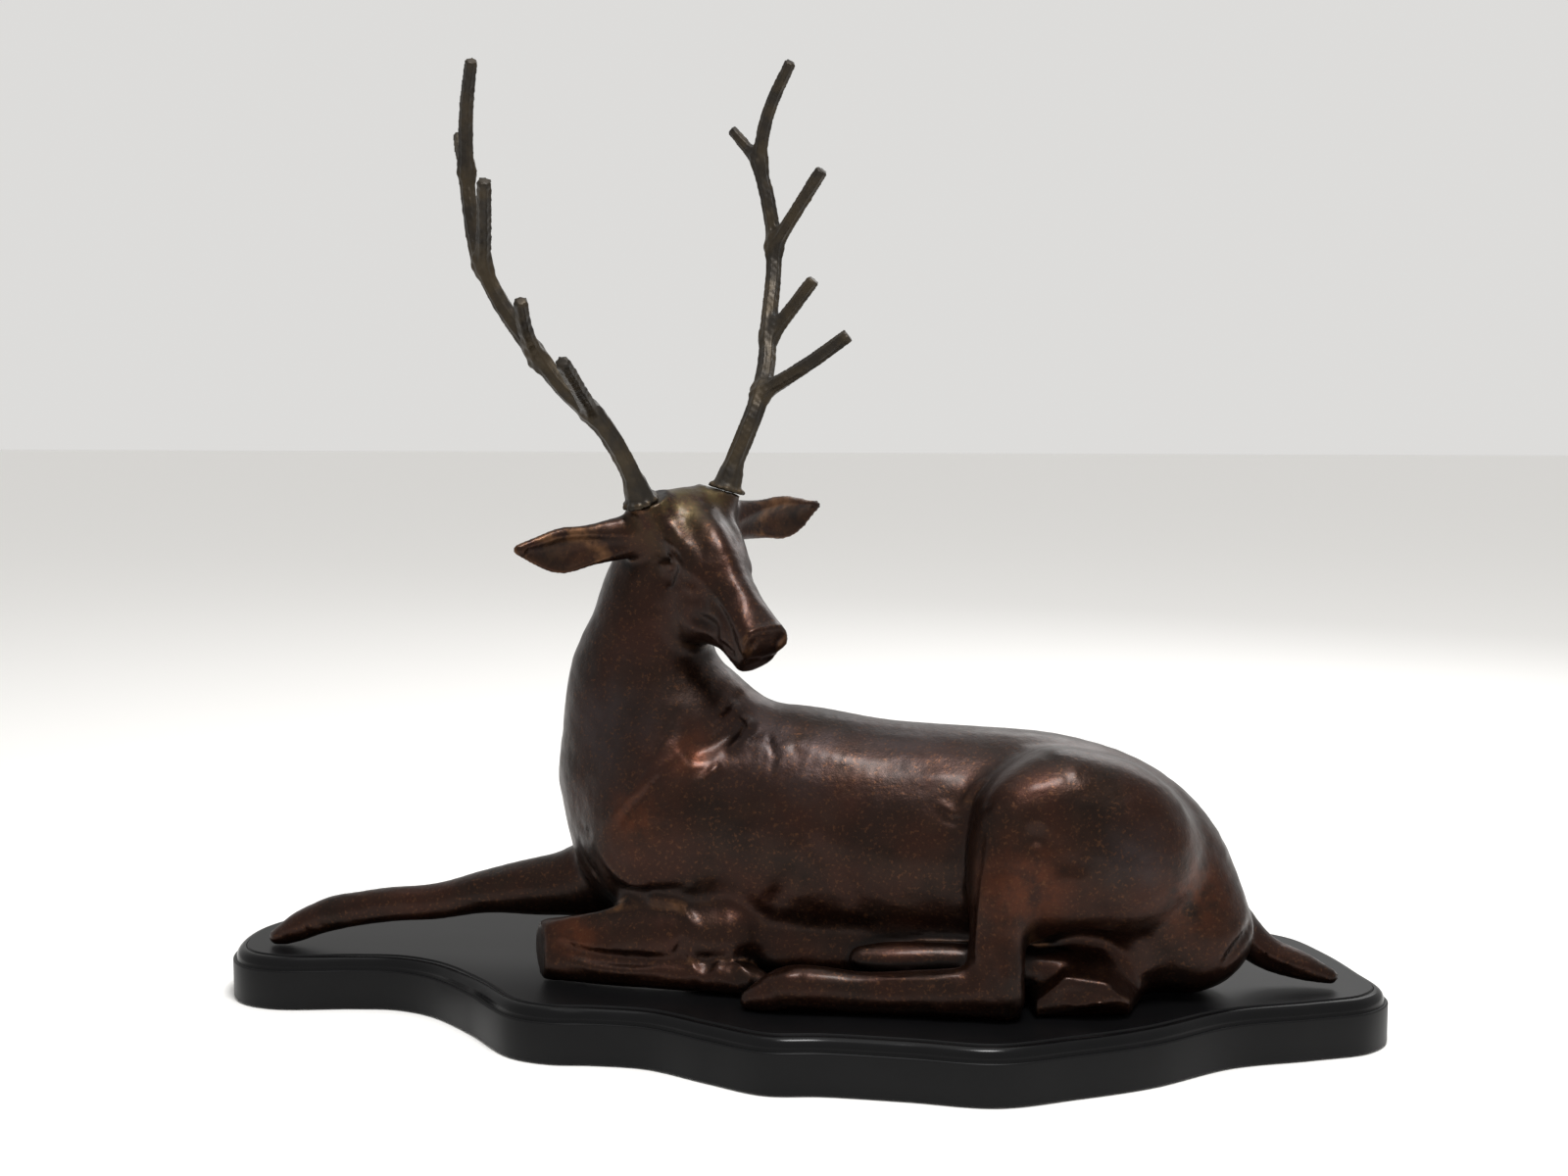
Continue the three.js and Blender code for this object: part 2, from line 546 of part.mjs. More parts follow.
// Takes edges out of a surface, cheapest first, until it has the wanted number of triangles
function simplify({ points, faces }, wanted) {
  const quadrics = points.map(() => new Float64Array(10));
  const around = points.map(() => new Set());
  const alive = new Uint8Array(faces.length).fill(1);
  const stamp = new Uint32Array(points.length);
  const gone = new Uint8Array(points.length);
  const planeOf = (a, b, c) => {
    const ux = b[0] - a[0];
    const uy = b[1] - a[1];
    const uz = b[2] - a[2];
    const wx = c[0] - a[0];
    const wy = c[1] - a[1];
    const wz = c[2] - a[2];
    const nx = uy * wz - uz * wy;
    const ny = uz * wx - ux * wz;
    const nz = ux * wy - uy * wx;
    const size = Math.hypot(nx, ny, nz) || 1e-12;
    return [nx / size, ny / size, nz / size, size];
  };
  faces.forEach((face, f) => {
    const [a, b, c] = face.map((v) => points[v]);
    const [nx, ny, nz, size] = planeOf(a, b, c);
    const d = -(nx * a[0] + ny * a[1] + nz * a[2]);
    const terms = [nx * nx, nx * ny, nx * nz, nx * d, ny * ny, ny * nz, ny * d, nz * nz, nz * d, d * d];
    for (const v of face) {
      around[v].add(f);
      for (let n = 0; n < 10; n++) quadrics[v][n] += terms[n] * size;
    }
  });
  const errorAt = (q, [x, y, z]) =>
    q[0] * x * x + 2 * q[1] * x * y + 2 * q[2] * x * z + 2 * q[3] * x + q[4] * y * y +
    2 * q[5] * y * z + 2 * q[6] * y + q[7] * z * z + 2 * q[8] * z + q[9];
  const heap = [];
  const swap = (i, j) => {
    const kept = heap[i];
    heap[i] = heap[j];
    heap[j] = kept;
  };
  const push = (item) => {
    heap.push(item);
    let i = heap.length - 1;
    while (i > 0) {
      const up = (i - 1) >> 1;
      if (heap[up].cost <= heap[i].cost) break;
      swap(up, i);
      i = up;
    }
  };
  const pop = () => {
    const top = heap[0];
    const last = heap.pop();
    if (heap.length === 0) return top;
    heap[0] = last;
    let i = 0;
    for (;;) {
      const left = 2 * i + 1;
      const right = left + 1;
      let least = i;
      if (left < heap.length && heap[left].cost < heap[least].cost) least = left;
      if (right < heap.length && heap[right].cost < heap[least].cost) least = right;
      if (least === i) return top;
      swap(i, least);
      i = least;
    }
  };
  const consider = (a, b) => {
    const q = quadrics[a].map((v, n) => v + quadrics[b][n]);
    const middle = points[a].map((v, axis) => (v + points[b][axis]) / 2);
    const choices = [points[a], points[b], middle];
    let best = middle;
    let cost = Infinity;
    for (const p of choices) {
      const e = errorAt(q, p);
      if (e < cost - 1e-9) {
        cost = e;
        best = p;
      }
    }
    const span = Math.hypot(...points[a].map((v, axis) => v - points[b][axis]));
    push({ a, b, at: best, cost: cost + 1e-4 * span * span, sa: stamp[a], sb: stamp[b] });
  };
  const neighbours = (v) => {
    const found = new Set();
    for (const f of around[v]) for (const n of faces[f]) if (n !== v) found.add(n);
    return found;
  };
  const flips = (v, other, at) => {
    for (const f of around[v]) {
      if (faces[f].includes(other)) continue;
      const before = planeOf(...faces[f].map((n) => points[n]));
      const after = planeOf(...faces[f].map((n) => (n === v ? at : points[n])));
      const dot = before[0] * after[0] + before[1] * after[1] + before[2] * after[2];
      if (dot < 0.3 || after[3] < 0.02) return true;
    }
    return false;
  };
  points.forEach((_, v) => {
    for (const n of neighbours(v)) if (v < n) consider(v, n);
  });
  let left = faces.length;
  while (left > wanted && heap.length > 0) {
    const { a, b, at, sa, sb } = pop();
    if (gone[a] || gone[b] || stamp[a] !== sa || stamp[b] !== sb) continue;
    const nearA = neighbours(a);
    const nearB = neighbours(b);
    if (!nearA.has(b)) continue;
    let shared = 0;
    for (const n of nearA) if (nearB.has(n)) shared++;
    if (shared !== 2) continue;
    if (flips(a, b, at) || flips(b, a, at)) continue;
    for (const f of [...around[b]]) {
      if (faces[f].includes(a)) {
        alive[f] = 0;
        left--;
        for (const n of faces[f]) around[n].delete(f);
      } else {
        faces[f] = faces[f].map((n) => (n === b ? a : n));
        around[a].add(f);
      }
    }
    gone[b] = 1;
    around[b] = new Set();
    points[a] = at.slice();
    for (let n = 0; n < 10; n++) quadrics[a][n] += quadrics[b][n];
    stamp[a]++;
    for (const n of neighbours(a)) consider(a, n);
  }
  return { points, faces: faces.filter((_, f) => alive[f]) };
}

// The largest connected part of a surface
function mainBody({ points, faces }) {
  const parent = points.map((_, i) => i);
  const rootOf = (v) => {
    while (parent[v] !== v) {
      parent[v] = parent[parent[v]];
      v = parent[v];
    }
    return v;
  };
  for (const [a, b, c] of faces) {
    parent[rootOf(a)] = rootOf(b);
    parent[rootOf(b)] = rootOf(c);
  }
  const size = new Map();
  for (const [a] of faces) size.set(rootOf(a), (size.get(rootOf(a)) ?? 0) + 1);
  const largest = [...size.entries()].sort((p, q) => q[1] - p[1])[0][0];
  return { points, faces: faces.filter(([a]) => rootOf(a) === largest) };
}

// Pushes back every point that a simplified flat has carried over its plane
function trim(points, plane, reach) {
  for (const p of points) {
    const at = new THREE.Vector3(...p);
    const over = at.clone().sub(plane.point).dot(plane.axis);
    if (over <= 0 || at.distanceTo(plane.point) > reach) continue;
    at.addScaledVector(plane.axis, -over);
    at.toArray(p);
  }
}

function geometryOf({ points, faces }) {
  const geometry = new THREE.BufferGeometry();
  geometry.setAttribute("position", new THREE.Float32BufferAttribute(points.flat(), 3));
  geometry.setIndex(faces.flat());
  const solid = geometry.toNonIndexed();
  solid.computeVertexNormals();
  return solid;
}

function castGeometry(forms, floor, cell, triangles, planes) {
  const rough = mainBody(surface(clay(forms, floor), cell));
  const fine = simplify(rough, triangles);
  for (const plane of planes) trim(fine.points, plane, SEAT_REACH);
  for (const p of fine.points) p[2] = Math.max(p[2], floor);
  return geometryOf(fine);
}

function stagGeometry() {
  return castGeometry(stagForms(), FLOOR, STAG_CELL, STAG_TRIANGLES, [seat(-1), seat(1)]);
}

function antlerGeometry(side) {
  const joint = seat(side);
  const start = joint.point.clone().addScaledVector(joint.axis, JOINT_GAP);
  const plane = { point: start, axis: joint.axis.clone().negate() };
  return castGeometry(antlerForms(side), FLOOR, ANTLER_CELL, ANTLER_TRIANGLES, [plane]);
}

// The closed wavy outline, in even steps
function boardOutline() {
  const curve = new THREE.CatmullRomCurve3(
    OUTLINE.map(([x, y]) => new THREE.Vector3(x, y, 0)),
    true,
    "centripetal",
  );
  return curve.getSpacedPoints(OUTLINE_STEPS).slice(0, OUTLINE_STEPS);
}

// The board: its outline drawn in ring by ring as the profile goes up
function boardGeometry(outline) {
  const inward = outline.map((_, i) => {
    const before = outline.at(i - 1);
    const after = outline[(i + 1) % OUTLINE_STEPS];
    const along = after.clone().sub(before).normalize();
    return new THREE.Vector3(-along.y, along.x, 0);
  });
  const points = [];
  for (const [inset, z] of BOARD_PROFILE) {
    outline.forEach((p, i) => {
      points.push([p.x + inset * inward[i].x, p.y + inset * inward[i].y, z]);
    });
  }
  const faces = [];
  const rings = BOARD_PROFILE.length;
  for (let ring = 0; ring + 1 < rings; ring++) {
    for (let i = 0; i < OUTLINE_STEPS; i++) {
      const a = ring * OUTLINE_STEPS + i;
      const b = ring * OUTLINE_STEPS + ((i + 1) % OUTLINE_STEPS);
      faces.push([a, b, b + OUTLINE_STEPS], [a, b + OUTLINE_STEPS, a + OUTLINE_STEPS]);
    }
  }
  const flat = (ring) => {
    const start = ring * OUTLINE_STEPS;
    const loop = points.slice(start, start + OUTLINE_STEPS).map(([x, y]) => new THREE.Vector2(x, y));
    return THREE.ShapeUtils.triangulateShape(loop, []).map((t) => t.map((v) => v + start));
  };
  for (const [a, b, c] of flat(0)) faces.push([c, b, a]);
  for (const t of flat(rings - 1)) faces.push(t);
  return geometryOf({ points, faces });
}

const outline = boardOutline();
const middle = new THREE.Box3().setFromPoints(outline).getCenter(new THREE.Vector3());
const group = new THREE.Group();
group.name = "stag_statue";
const pieces = [
  ["stag", stagGeometry(), IRON],
  ["antler_right", antlerGeometry(-1), ANTLER_METAL],
  ["antler_left", antlerGeometry(1), ANTLER_METAL],
  ["plinth", boardGeometry(outline), LACQUER],
];
for (const [name, geometry, finish] of pieces) {
  geometry.translate(-middle.x, -middle.y, 0);
  const mesh = new THREE.Mesh(geometry, new THREE.MeshStandardMaterial(finish));
  mesh.name = name;
  group.add(mesh);
}

export default group;
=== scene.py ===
# %% [markdown]
# # A lying stag cast in iron, on a wavy lacquered board
#
# The statue has four pieces: the stag, cast in one with its ears, legs and tail; two antlers, cast on
# their own and set on the skull with a ragged joint; and a black lacquered board under it.
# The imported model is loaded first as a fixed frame. It gives the place and the size of every piece, and
# the finer pieces made below stand in for its plain solids.

# %% Load the frame
import json
import math

import bpy
import numpy as np
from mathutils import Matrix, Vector

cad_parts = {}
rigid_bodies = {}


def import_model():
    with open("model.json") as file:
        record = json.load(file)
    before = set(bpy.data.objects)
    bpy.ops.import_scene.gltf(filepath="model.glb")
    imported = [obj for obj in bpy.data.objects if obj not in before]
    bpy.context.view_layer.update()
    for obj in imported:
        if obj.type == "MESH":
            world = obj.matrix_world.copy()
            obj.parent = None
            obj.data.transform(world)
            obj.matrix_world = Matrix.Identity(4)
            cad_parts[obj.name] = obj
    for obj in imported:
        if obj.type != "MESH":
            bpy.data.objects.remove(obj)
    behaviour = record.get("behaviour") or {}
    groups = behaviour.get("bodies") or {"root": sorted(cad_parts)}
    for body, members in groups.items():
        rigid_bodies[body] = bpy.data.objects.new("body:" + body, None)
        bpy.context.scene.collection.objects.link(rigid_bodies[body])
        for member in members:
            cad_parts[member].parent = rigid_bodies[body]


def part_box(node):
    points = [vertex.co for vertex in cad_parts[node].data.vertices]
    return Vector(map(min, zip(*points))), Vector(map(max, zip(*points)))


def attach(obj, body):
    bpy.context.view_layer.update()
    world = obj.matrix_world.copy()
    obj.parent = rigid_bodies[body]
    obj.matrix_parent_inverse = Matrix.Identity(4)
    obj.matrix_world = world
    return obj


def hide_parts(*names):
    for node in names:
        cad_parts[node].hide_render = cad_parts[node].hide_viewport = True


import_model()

for leftover in ("Cube", "Light", "Camera"):
    if leftover in bpy.data.objects:
        bpy.data.objects.remove(bpy.data.objects[leftover])
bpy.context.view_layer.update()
MM = 0.001

# %% [markdown]
# ## The frame that the forms are laid out in
#
# The forms are laid out in millimetres round a point near the middle of the board. The finished work is
# then moved so that the middle of the board's underside is the origin. The same move applies to the camera.

# %% Where the layout sits in the frame
board_low, board_high = (np.array(c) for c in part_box("plinth"))
BOARD_HEIGHT = 25.5
LAYOUT_SHIFT = np.array([5.17, -9.9, 0.0])
JOINT_GAP = 0.4
FLOOR = BOARD_HEIGHT + JOINT_GAP
BODY_MID = 12
print("board in mm:", (board_high - board_low) / MM)

# %% [markdown]
# ## The camera
#
# The photograph looks slightly down, and a few degrees from behind the stag's shoulder. The heights of the
# board's side across the picture give the distance, and the horizon gives the height of the lens.

# %% Camera
LENS_FOCAL_PX = 1940
PHOTO_WIDTH_PX = 1600
SENSOR_MM = 36
FAR_CLIP = 20
LENS_PLACE = np.array([103.35, -879.15, 300.0])
LENS_TURN = math.radians(7)
LENS_TILT = math.radians(5.8)


def placed(name, data):
    """A new object with these data, put in the scene."""
    made = bpy.data.objects.new(name, data)
    bpy.context.collection.objects.link(made)
    return made


camera_data = bpy.data.cameras.new("camera")
camera_data.sensor_width = SENSOR_MM
camera_data.lens = SENSOR_MM * LENS_FOCAL_PX / PHOTO_WIDTH_PX
camera_data.clip_end = FAR_CLIP
camera = placed("camera", camera_data)
camera.location = (LENS_PLACE + LAYOUT_SHIFT) * MM
camera.rotation_euler = (math.pi / 2 - LENS_TILT, 0, LENS_TURN)
bpy.context.scene.camera = camera
print("camera", tuple(camera.location), "lens", camera_data.lens)

# %% [markdown]
# ## Digital clay
#
# A statue like this one is first modelled in clay: lumps and rolls are pressed together, smoothed over, and
# then marked with a tool. Sculpting by hand can't be written down, so each lump here is a distance
# function: it says how far a point is from the lump's surface, less than zero inside. Two lumps are pressed
# together by taking the lesser distance, with a fillet where they meet. A tool mark moves the surface in.

# %% Pressing lumps together
FAR_OFF = 1000.0
WHOLE_STATUE = 400
THINNEST = 0.3


def unit(v):
    v = np.asarray(v, float)
    return v / np.linalg.norm(v, axis=-1, keepdims=True)


def press(a, b, fillet):
    """The two distances joined, with a fillet of that size in mm."""
    if fillet <= 0:
        return np.minimum(a, b)
    h = np.clip(0.5 + 0.5 * (b - a) / fillet, 0, 1)
    return b * (1 - h) + a * h - fillet * h * (1 - h)


def smooth_rows(rows, steps):
    """Rows of numbers with a smooth curve run through them, every column alike."""
    rows = np.array([tuple(r) if len(r) == 5 else tuple(r) + (r[3],) for r in rows], float)
    if len(rows) < 3:
        return rows
    p = np.vstack([2 * rows[0] - rows[1], rows, 2 * rows[-1] - rows[-2]])
    out = []
    for i in range(1, len(p) - 2):
        before, start, end, after = p[i - 1 : i + 3]
        for t in np.arange(steps) / steps:
            out.append(
                0.5
                * (
                    2 * start
                    + (end - before) * t
                    + (2 * before - 5 * start + 4 * end - after) * t**2
                    + (3 * start - before - 3 * end + after) * t**3
                )
            )
    return np.array(out + [rows[-1]])


# %% [markdown]
# A leg or the torso is a roll of clay that tapers: stations along it give its middle, half-width and
# half-height. Only the stretches of the roll near the points in hand are worked out, which saves most
# of the time.

# %% A tapering roll


class Roll:
    """Stations of x, y, z, half-width and half-height; flutes are grooves along it, groove mm deep."""

    def __init__(self, rows, up=(0, 0, 1), steps=4, flutes=0, groove=0):
        self.flutes, self.groove = flutes, groove
        r = smooth_rows(rows, steps)
        r[:, 3:] = np.maximum(r[:, 3:], THINNEST)
        self.a = r[:-1, :3]
        self.ra, self.rb = r[:-1, 3:], r[1:, 3:]
        self.ab = r[1:, :3] - self.a
        self.length2 = (self.ab**2).sum(1)
        self.axis = unit(self.ab)
        self.side = unit(np.cross(self.axis, np.asarray(up, float)))
        self.rise = np.cross(self.side, self.axis)
        self.reach = np.maximum(self.ra.max(1), self.rb.max(1))
        self.middle = self.a + self.ab / 2
        self.half = np.sqrt(self.length2) / 2
        ends = np.vstack([r[:, :3] - self.reach.max(), r[:, :3] + self.reach.max()])
        self.low, self.high = ends.min(0), ends.max(0)

    def near(self, ball):
        if ball is None:
            return range(len(self.a))
        centre, radius = ball
        gap = np.linalg.norm(self.middle - centre, axis=1) - self.half - self.reach
        return np.flatnonzero(gap < gap.min() + 2 * radius + 2 * self.reach)

    def __call__(self, p, ball=None):
        best = np.full(len(p), np.inf)
        for i in self.near(ball):
            q = p - self.a[i]
            t = np.clip(q @ self.ab[i] / self.length2[i], 0, 1)
            e = q - t[:, None] * self.ab[i]
            size = self.ra[i] + t[:, None] * (self.rb[i] - self.ra[i])
            size = np.column_stack([size, size.min(1)])
            u = np.column_stack([e @ self.side[i], e @ self.rise[i], e @ self.axis[i]]) / size
            k0 = np.sqrt((u**2).sum(1))
            k1 = np.sqrt(((u / size) ** 2).sum(1))
            d = np.where(k1 > 1e-9, k0 * (k0 - 1) / np.maximum(k1, 1e-9), -size[:, 2])
            if self.flutes:
                # A groove wanders a little from side to side on its way
                wander = 0.6 * np.sin(p[:, 2] / 7) + 0.4 * np.sin(p[:, 0] / 5)
                round_roll = self.flutes * np.arctan2(u[:, 1], u[:, 0]) + wander
                d = d + self.groove * (0.5 - 0.5 * np.cos(round_roll)) * np.clip(k0, 0, 1)
            best = np.minimum(best, d)
        return best


# %% [markdown]
# A muscle or the skull is an egg-shaped lump, and a flat is cut off by a plane. The plane is kept to a
# ball round its point where it may only cut one place.

# %% Lumps and flats


class Lump:
    def __init__(self, centre, radii, pitch=0):
        self.centre, self.radii = np.array(centre, float), np.array(radii, float)
        c, s = math.cos(math.radians(pitch)), math.sin(math.radians(pitch))
        self.axes = np.array([[c, 0, -s], [0, 1, 0], [s, 0, c]])
        reach = self.radii.max()
        self.low, self.high = self.centre - reach, self.centre + reach

    def __call__(self, p, ball=None):
        u = (p - self.centre) @ self.axes.T / self.radii
        k0 = np.sqrt((u**2).sum(1))
        k1 = np.sqrt(((u / self.radii) ** 2).sum(1))
        return np.where(k1 > 1e-9, k0 * (k0 - 1) / np.maximum(k1, 1e-9), -self.radii.min())


class Flat:
    """What lies beyond a plane, within reach of its point."""

    def __init__(self, point, outward, reach=WHOLE_STATUE):
        self.point, self.outward, self.reach = np.array(point, float), unit(outward), reach
        self.low, self.high = self.point - reach, self.point + reach

    def __call__(self, p, ball=None):
        q = p - self.point
        return np.maximum(-(q @ self.outward), np.linalg.norm(q, axis=1) - self.reach)


# %% [markdown]
# A knuckle roughed out with a knife has flats with blunt edges between them. It is what lies inside all of
# its flats, so the distance is the greatest of the distances to them.

# %% A faceted lump


class Facets:
    def __init__(self, centre, flats):
        self.centre = np.array(centre, float)
        self.outward = unit([flat[:3] for flat in flats])
        self.height = np.array([flat[3] for flat in flats], float)
        reach = 1.6 * self.height.max()
        self.low, self.high = self.centre - reach, self.centre + reach

    def __call__(self, p, ball=None):
        return ((p - self.centre) @ self.outward.T - self.height).max(1)


# %% [markdown]
# A tool mark is a crease or a ridge that follows a line of points. Its depth fades out like a bell on
# both sides and towards both ends, so it leaves a soft edge, as a wooden tool does in clay.

# %% Tool marks
MARK_REACH = 2.3
CULL_MARGIN = 12


class Mark:
    """A crease where the depth is above zero, a ridge where it is below."""

    def __init__(self, points, width, depth, fade=0.35):
        self.line = smooth_rows([(*p, 0) for p in points], 3)[:, :3]
        steps = np.linalg.norm(np.diff(self.line, axis=0), axis=1)
        self.run = np.concatenate([[0], np.cumsum(steps)]) / steps.sum()
        self.width, self.depth, self.fade = width, depth, fade
        self.low = self.line.min(0) - MARK_REACH * width
        self.high = self.line.max(0) + MARK_REACH * width

    def __call__(self, p, ball=None):
        best, along = np.full(len(p), np.inf), np.zeros(len(p))
        for i, (a, b) in enumerate(zip(self.line[:-1], self.line[1:])):
            q, ab = p - a, b - a
            t = np.clip(q @ ab / (ab @ ab), 0, 1)
            gap = ((q - t[:, None] * ab) ** 2).sum(1)
            nearer = gap < best
            best = np.where(nearer, gap, best)
            along = np.where(nearer, self.run[i] + t * (self.run[i + 1] - self.run[i]), along)
        end = np.clip(np.minimum(along, 1 - along) / self.fade, 0, 1)
        return self.depth * end * (2 - end) * np.exp(-best / self.width**2)


class Clay:
    """Lumps added, cut away and marked, in order."""

    def __init__(self, floor=None):
        self.steps, self.floor = [], floor

    def add(self, form, fillet=8):
        self.steps.append(("add", form, fillet))

    def cut(self, form, fillet=4):
        self.steps.append(("cut", form, fillet))

    def mark(self, points, width, depth, fade=0.35):
        self.steps.append(("mark", Mark(points, width, depth, fade), 0))

    def mark_all(self, marks):
        for mark in marks:
            self.mark(*mark)

    def __call__(self, p, ball=None):
        d = np.full(len(p), FAR_OFF)
        for kind, form, fillet in self.steps:
            if ball is not None:
                reach = ball[1] + (0 if kind == "mark" else fillet + CULL_MARGIN)
                if np.any(ball[0] < form.low - reach) or np.any(ball[0] > form.high + reach):
                    continue
            v = form(p, ball)
            if kind == "add":
                d = press(d, v, fillet)
            elif kind == "cut":
                d = -press(-d, v, fillet)
            else:
                d = d + v
        if self.floor is not None:
            d = np.maximum(d, self.floor - p[:, 2])
        return d


print("clay tools ready")

# %% [markdown]
# ## From clay to a mesh
#
# The distance is read on a grid of points, in blocks. A block whose middle is far from the surface is
# skipped. A mesh vertex then goes in every cell that the surface crosses, and neighbouring cells are joined
# with four-sided faces. The grid is closer round the head, where the forms are small.

# %% Read the clay on a grid
BLOCK = 8
SKIP_SHARE = 1.7


def read_clay(clay, xs, ys, zs):
    field = np.full((len(xs), len(ys), len(zs)), FAR_OFF)
    corners, centres, radii = [], [], []
    for i in range(0, len(xs) - 1, BLOCK):
        for j in range(0, len(ys) - 1, BLOCK):
            for k in range(0, len(zs) - 1, BLOCK):
                low = np.array([xs[i], ys[j], zs[k]])
                ends = ((xs, i), (ys, j), (zs, k))
                high = np.array([axis[min(n + BLOCK, len(axis) - 1)] for axis, n in ends])
                corners.append((i, j, k))
                centres.append((low + high) / 2)
                radii.append(np.linalg.norm(high - low) / 2)
    first = clay(np.array(centres))
    read = 0
    for (i, j, k), centre, radius, distance in zip(corners, centres, radii, first):
        place = (slice(i, i + BLOCK + 1), slice(j, j + BLOCK + 1), slice(k, k + BLOCK + 1))
        if abs(distance) > SKIP_SHARE * radius:
            if distance < 0:
                field[place] = -FAR_OFF
            continue
        x, y, z = np.meshgrid(xs[place[0]], ys[place[1]], zs[place[2]], indexing="ij")
        points = np.column_stack([x.ravel(), y.ravel(), z.ravel()])
        field[place] = clay(points, (centre, radius)).reshape(x.shape)
        read += 1
    print("blocks read:", read, "of", len(corners))
    return field


# %% [markdown]
# A vertex lies in the middle of the places where the edges of its cell cross the surface. Every edge that
# crosses gets one face, from the four cells round that edge.

# %% Draw the surface through the grid


def skin(field, xs, ys, zs):
    inside = field < 0
    cells = tuple(n - 1 for n in field.shape)
    offsets = [(a, b, c) for a in (0, 1) for b in (0, 1) for c in (0, 1)]
    shifted = lambda o: tuple(slice(s, s + n) for s, n in zip(o, cells))
    count = sum(inside[shifted(o)].astype(int) for o in offsets)
    crossed = (count > 0) & (count < 8)
    cell = np.argwhere(crossed)
    number = np.full(cells, -1)
    number[crossed] = np.arange(len(cell))
    total, hits = np.zeros((len(cell), 3)), np.zeros(len(cell))
    for start in offsets:
        for axis in range(3):
            if start[axis]:
                continue
            end = tuple(1 if n == axis else s for n, s in enumerate(start))
            fa = field[tuple((cell + start).T)]
            fb = field[tuple((cell + end).T)]
            cross = (fa < 0) != (fb < 0)
            point = np.tile(np.array(start, float), (len(cell), 1))
            point[:, axis] = np.where(cross, fa / np.where(cross, fa - fb, 1), 0)
            total += np.where(cross[:, None], point, 0)
            hits += cross
    part = total / hits[:, None]
    verts = np.empty((len(cell), 3))
    for n, axis in enumerate((xs, ys, zs)):
        verts[:, n] = axis[cell[:, n]] + part[:, n] * (axis[cell[:, n] + 1] - axis[cell[:, n]])
    return verts, join_cells(inside, number)


def join_cells(inside, number):
    quads = []
    for axis in range(3):
        b, c = (axis + 1) % 3, (axis + 2) % 3
        low = [slice(None)] * 3
        high = [slice(None)] * 3
        low[axis], high[axis] = slice(0, -1), slice(1, None)
        for other in (b, c):
            low[other] = high[other] = slice(1, -1)
        here, there = inside[tuple(low)], inside[tuple(high)]
        for wanted, order in ((here & ~there, 1), (~here & there, -1)):
            n = np.argwhere(wanted)
            n[:, b] += 1
            n[:, c] += 1
            ring = []
            for db, dc in ((0, 0), (-1, 0), (-1, -1), (0, -1)):
                m = n.copy()
                m[:, b] += db
                m[:, c] += dc
                ring.append(number[tuple(m.T)])
            quads.append(np.column_stack(ring[::-1] if order < 0 else ring))
    return np.vstack(quads)


# %% [markdown]
# Two readings of the finished clay are kept with the mesh, because a finish depends on them: how deep a
# place lies in a hollow, which the finish darkens as painted shade over the patina that stays dark there,
# and how sharp a ridge it is on, where the metal is rubbed bright. A short step out from a hollow comes
# near the clay again, and a short step in from a ridge comes out of it.

# %% Hollows and ridges


def in_blocks(clay, points, size=24):
    """The clay's distance at scattered points, read block by block."""
    key = np.floor(points / size).astype(int)
    _, group = np.unique(key, axis=0, return_inverse=True)
    group = group.ravel()
    order = np.argsort(group, kind="stable")
    edges = np.flatnonzero(np.diff(group[order])) + 1
    out = np.empty(len(points))
    for members in np.split(order, edges):
        low, high = points[members].min(0), points[members].max(0)
        ball = ((low + high) / 2, np.linalg.norm(high - low) / 2 + 1)
        out[members] = clay(points[members], ball)
    return out


def vertex_normals(verts, quads):
    a, b, c, d = (verts[quads[:, n]] for n in range(4))
    face = np.cross(c - a, d - b)
    total = np.zeros_like(verts)
    for n in range(4):
        np.add.at(total, quads[:, n], face)
    return unit(total)


def hollow_shade_and_ridges(clay, verts, quads, step):
    normal = vertex_normals(verts, quads)
    out = in_blocks(clay, verts + step * normal)
    into = in_blocks(clay, verts - step * normal)
    return np.clip(1 - out / step, 0, 1), np.clip(1 + into / step, 0, 1)


# %% [markdown]
# Clay that is worked by hand is never quite even, and sand leaves its own skin on the casting. Both are
# sums of waves in random directions, which only ever take metal away, so the mesh stays inside the solid.

# %% Make a Blender mesh of it
DENT_SIZES, DENT_DEPTH = (34, 27, 21, 17, 14, 12, 10, 9), 0.6
GRAIN_SIZES, GRAIN_DEPTH = (7, 6.4, 5.8, 5.2, 4.8), 0.15


def uneven(points, sizes, depth, seed):
    """How far the hand-made surface lies under the smooth one, between 0 and depth."""
    draw = np.random.default_rng(seed)
    total = np.zeros(len(points))
    for size in sizes:
        wave = 2 * math.pi * points @ unit(draw.normal(size=3)) / size
        total += np.sin(wave + draw.uniform(0, 2 * math.pi))
    return depth * (0.5 + 0.5 * total / len(sizes))


def worked(verts, quads, seed):
    """Dents of the fingers, then the finer unevenness of the sand that the metal was cast in."""
    into = uneven(verts, DENT_SIZES, DENT_DEPTH, seed) + uneven(verts, GRAIN_SIZES, GRAIN_DEPTH, seed + 1)
    moved = verts - into[:, None] * vertex_normals(verts, quads)
    moved[:, 2] = np.maximum(moved[:, 2], FLOOR)
    return moved


def cast_mesh(name, verts, quads, readings):
    mesh = bpy.data.meshes.new(name)
    mesh.from_pydata(((verts + LAYOUT_SHIFT) * MM).tolist(), [], quads.tolist())
    mesh.validate()
    for attribute, values in readings.items():
        layer = mesh.attributes.new(attribute, "FLOAT", "POINT")
        layer.data.foreach_set("value", np.asarray(values, np.float32))
    mesh.shade_smooth()
    print(name, len(verts), "vertices,", 2 * len(quads), "triangles")
    return placed(name, mesh)


# %% [markdown]
# ## The head's own frame
#
# The head is turned back over the left shoulder and leans a little. Its forms are easier to give in a frame
# of its own: s runs down the face from the poll, w out to either side, n into the head towards the jaw.
# Both halves of the head are the same, so w is taken without its sign.

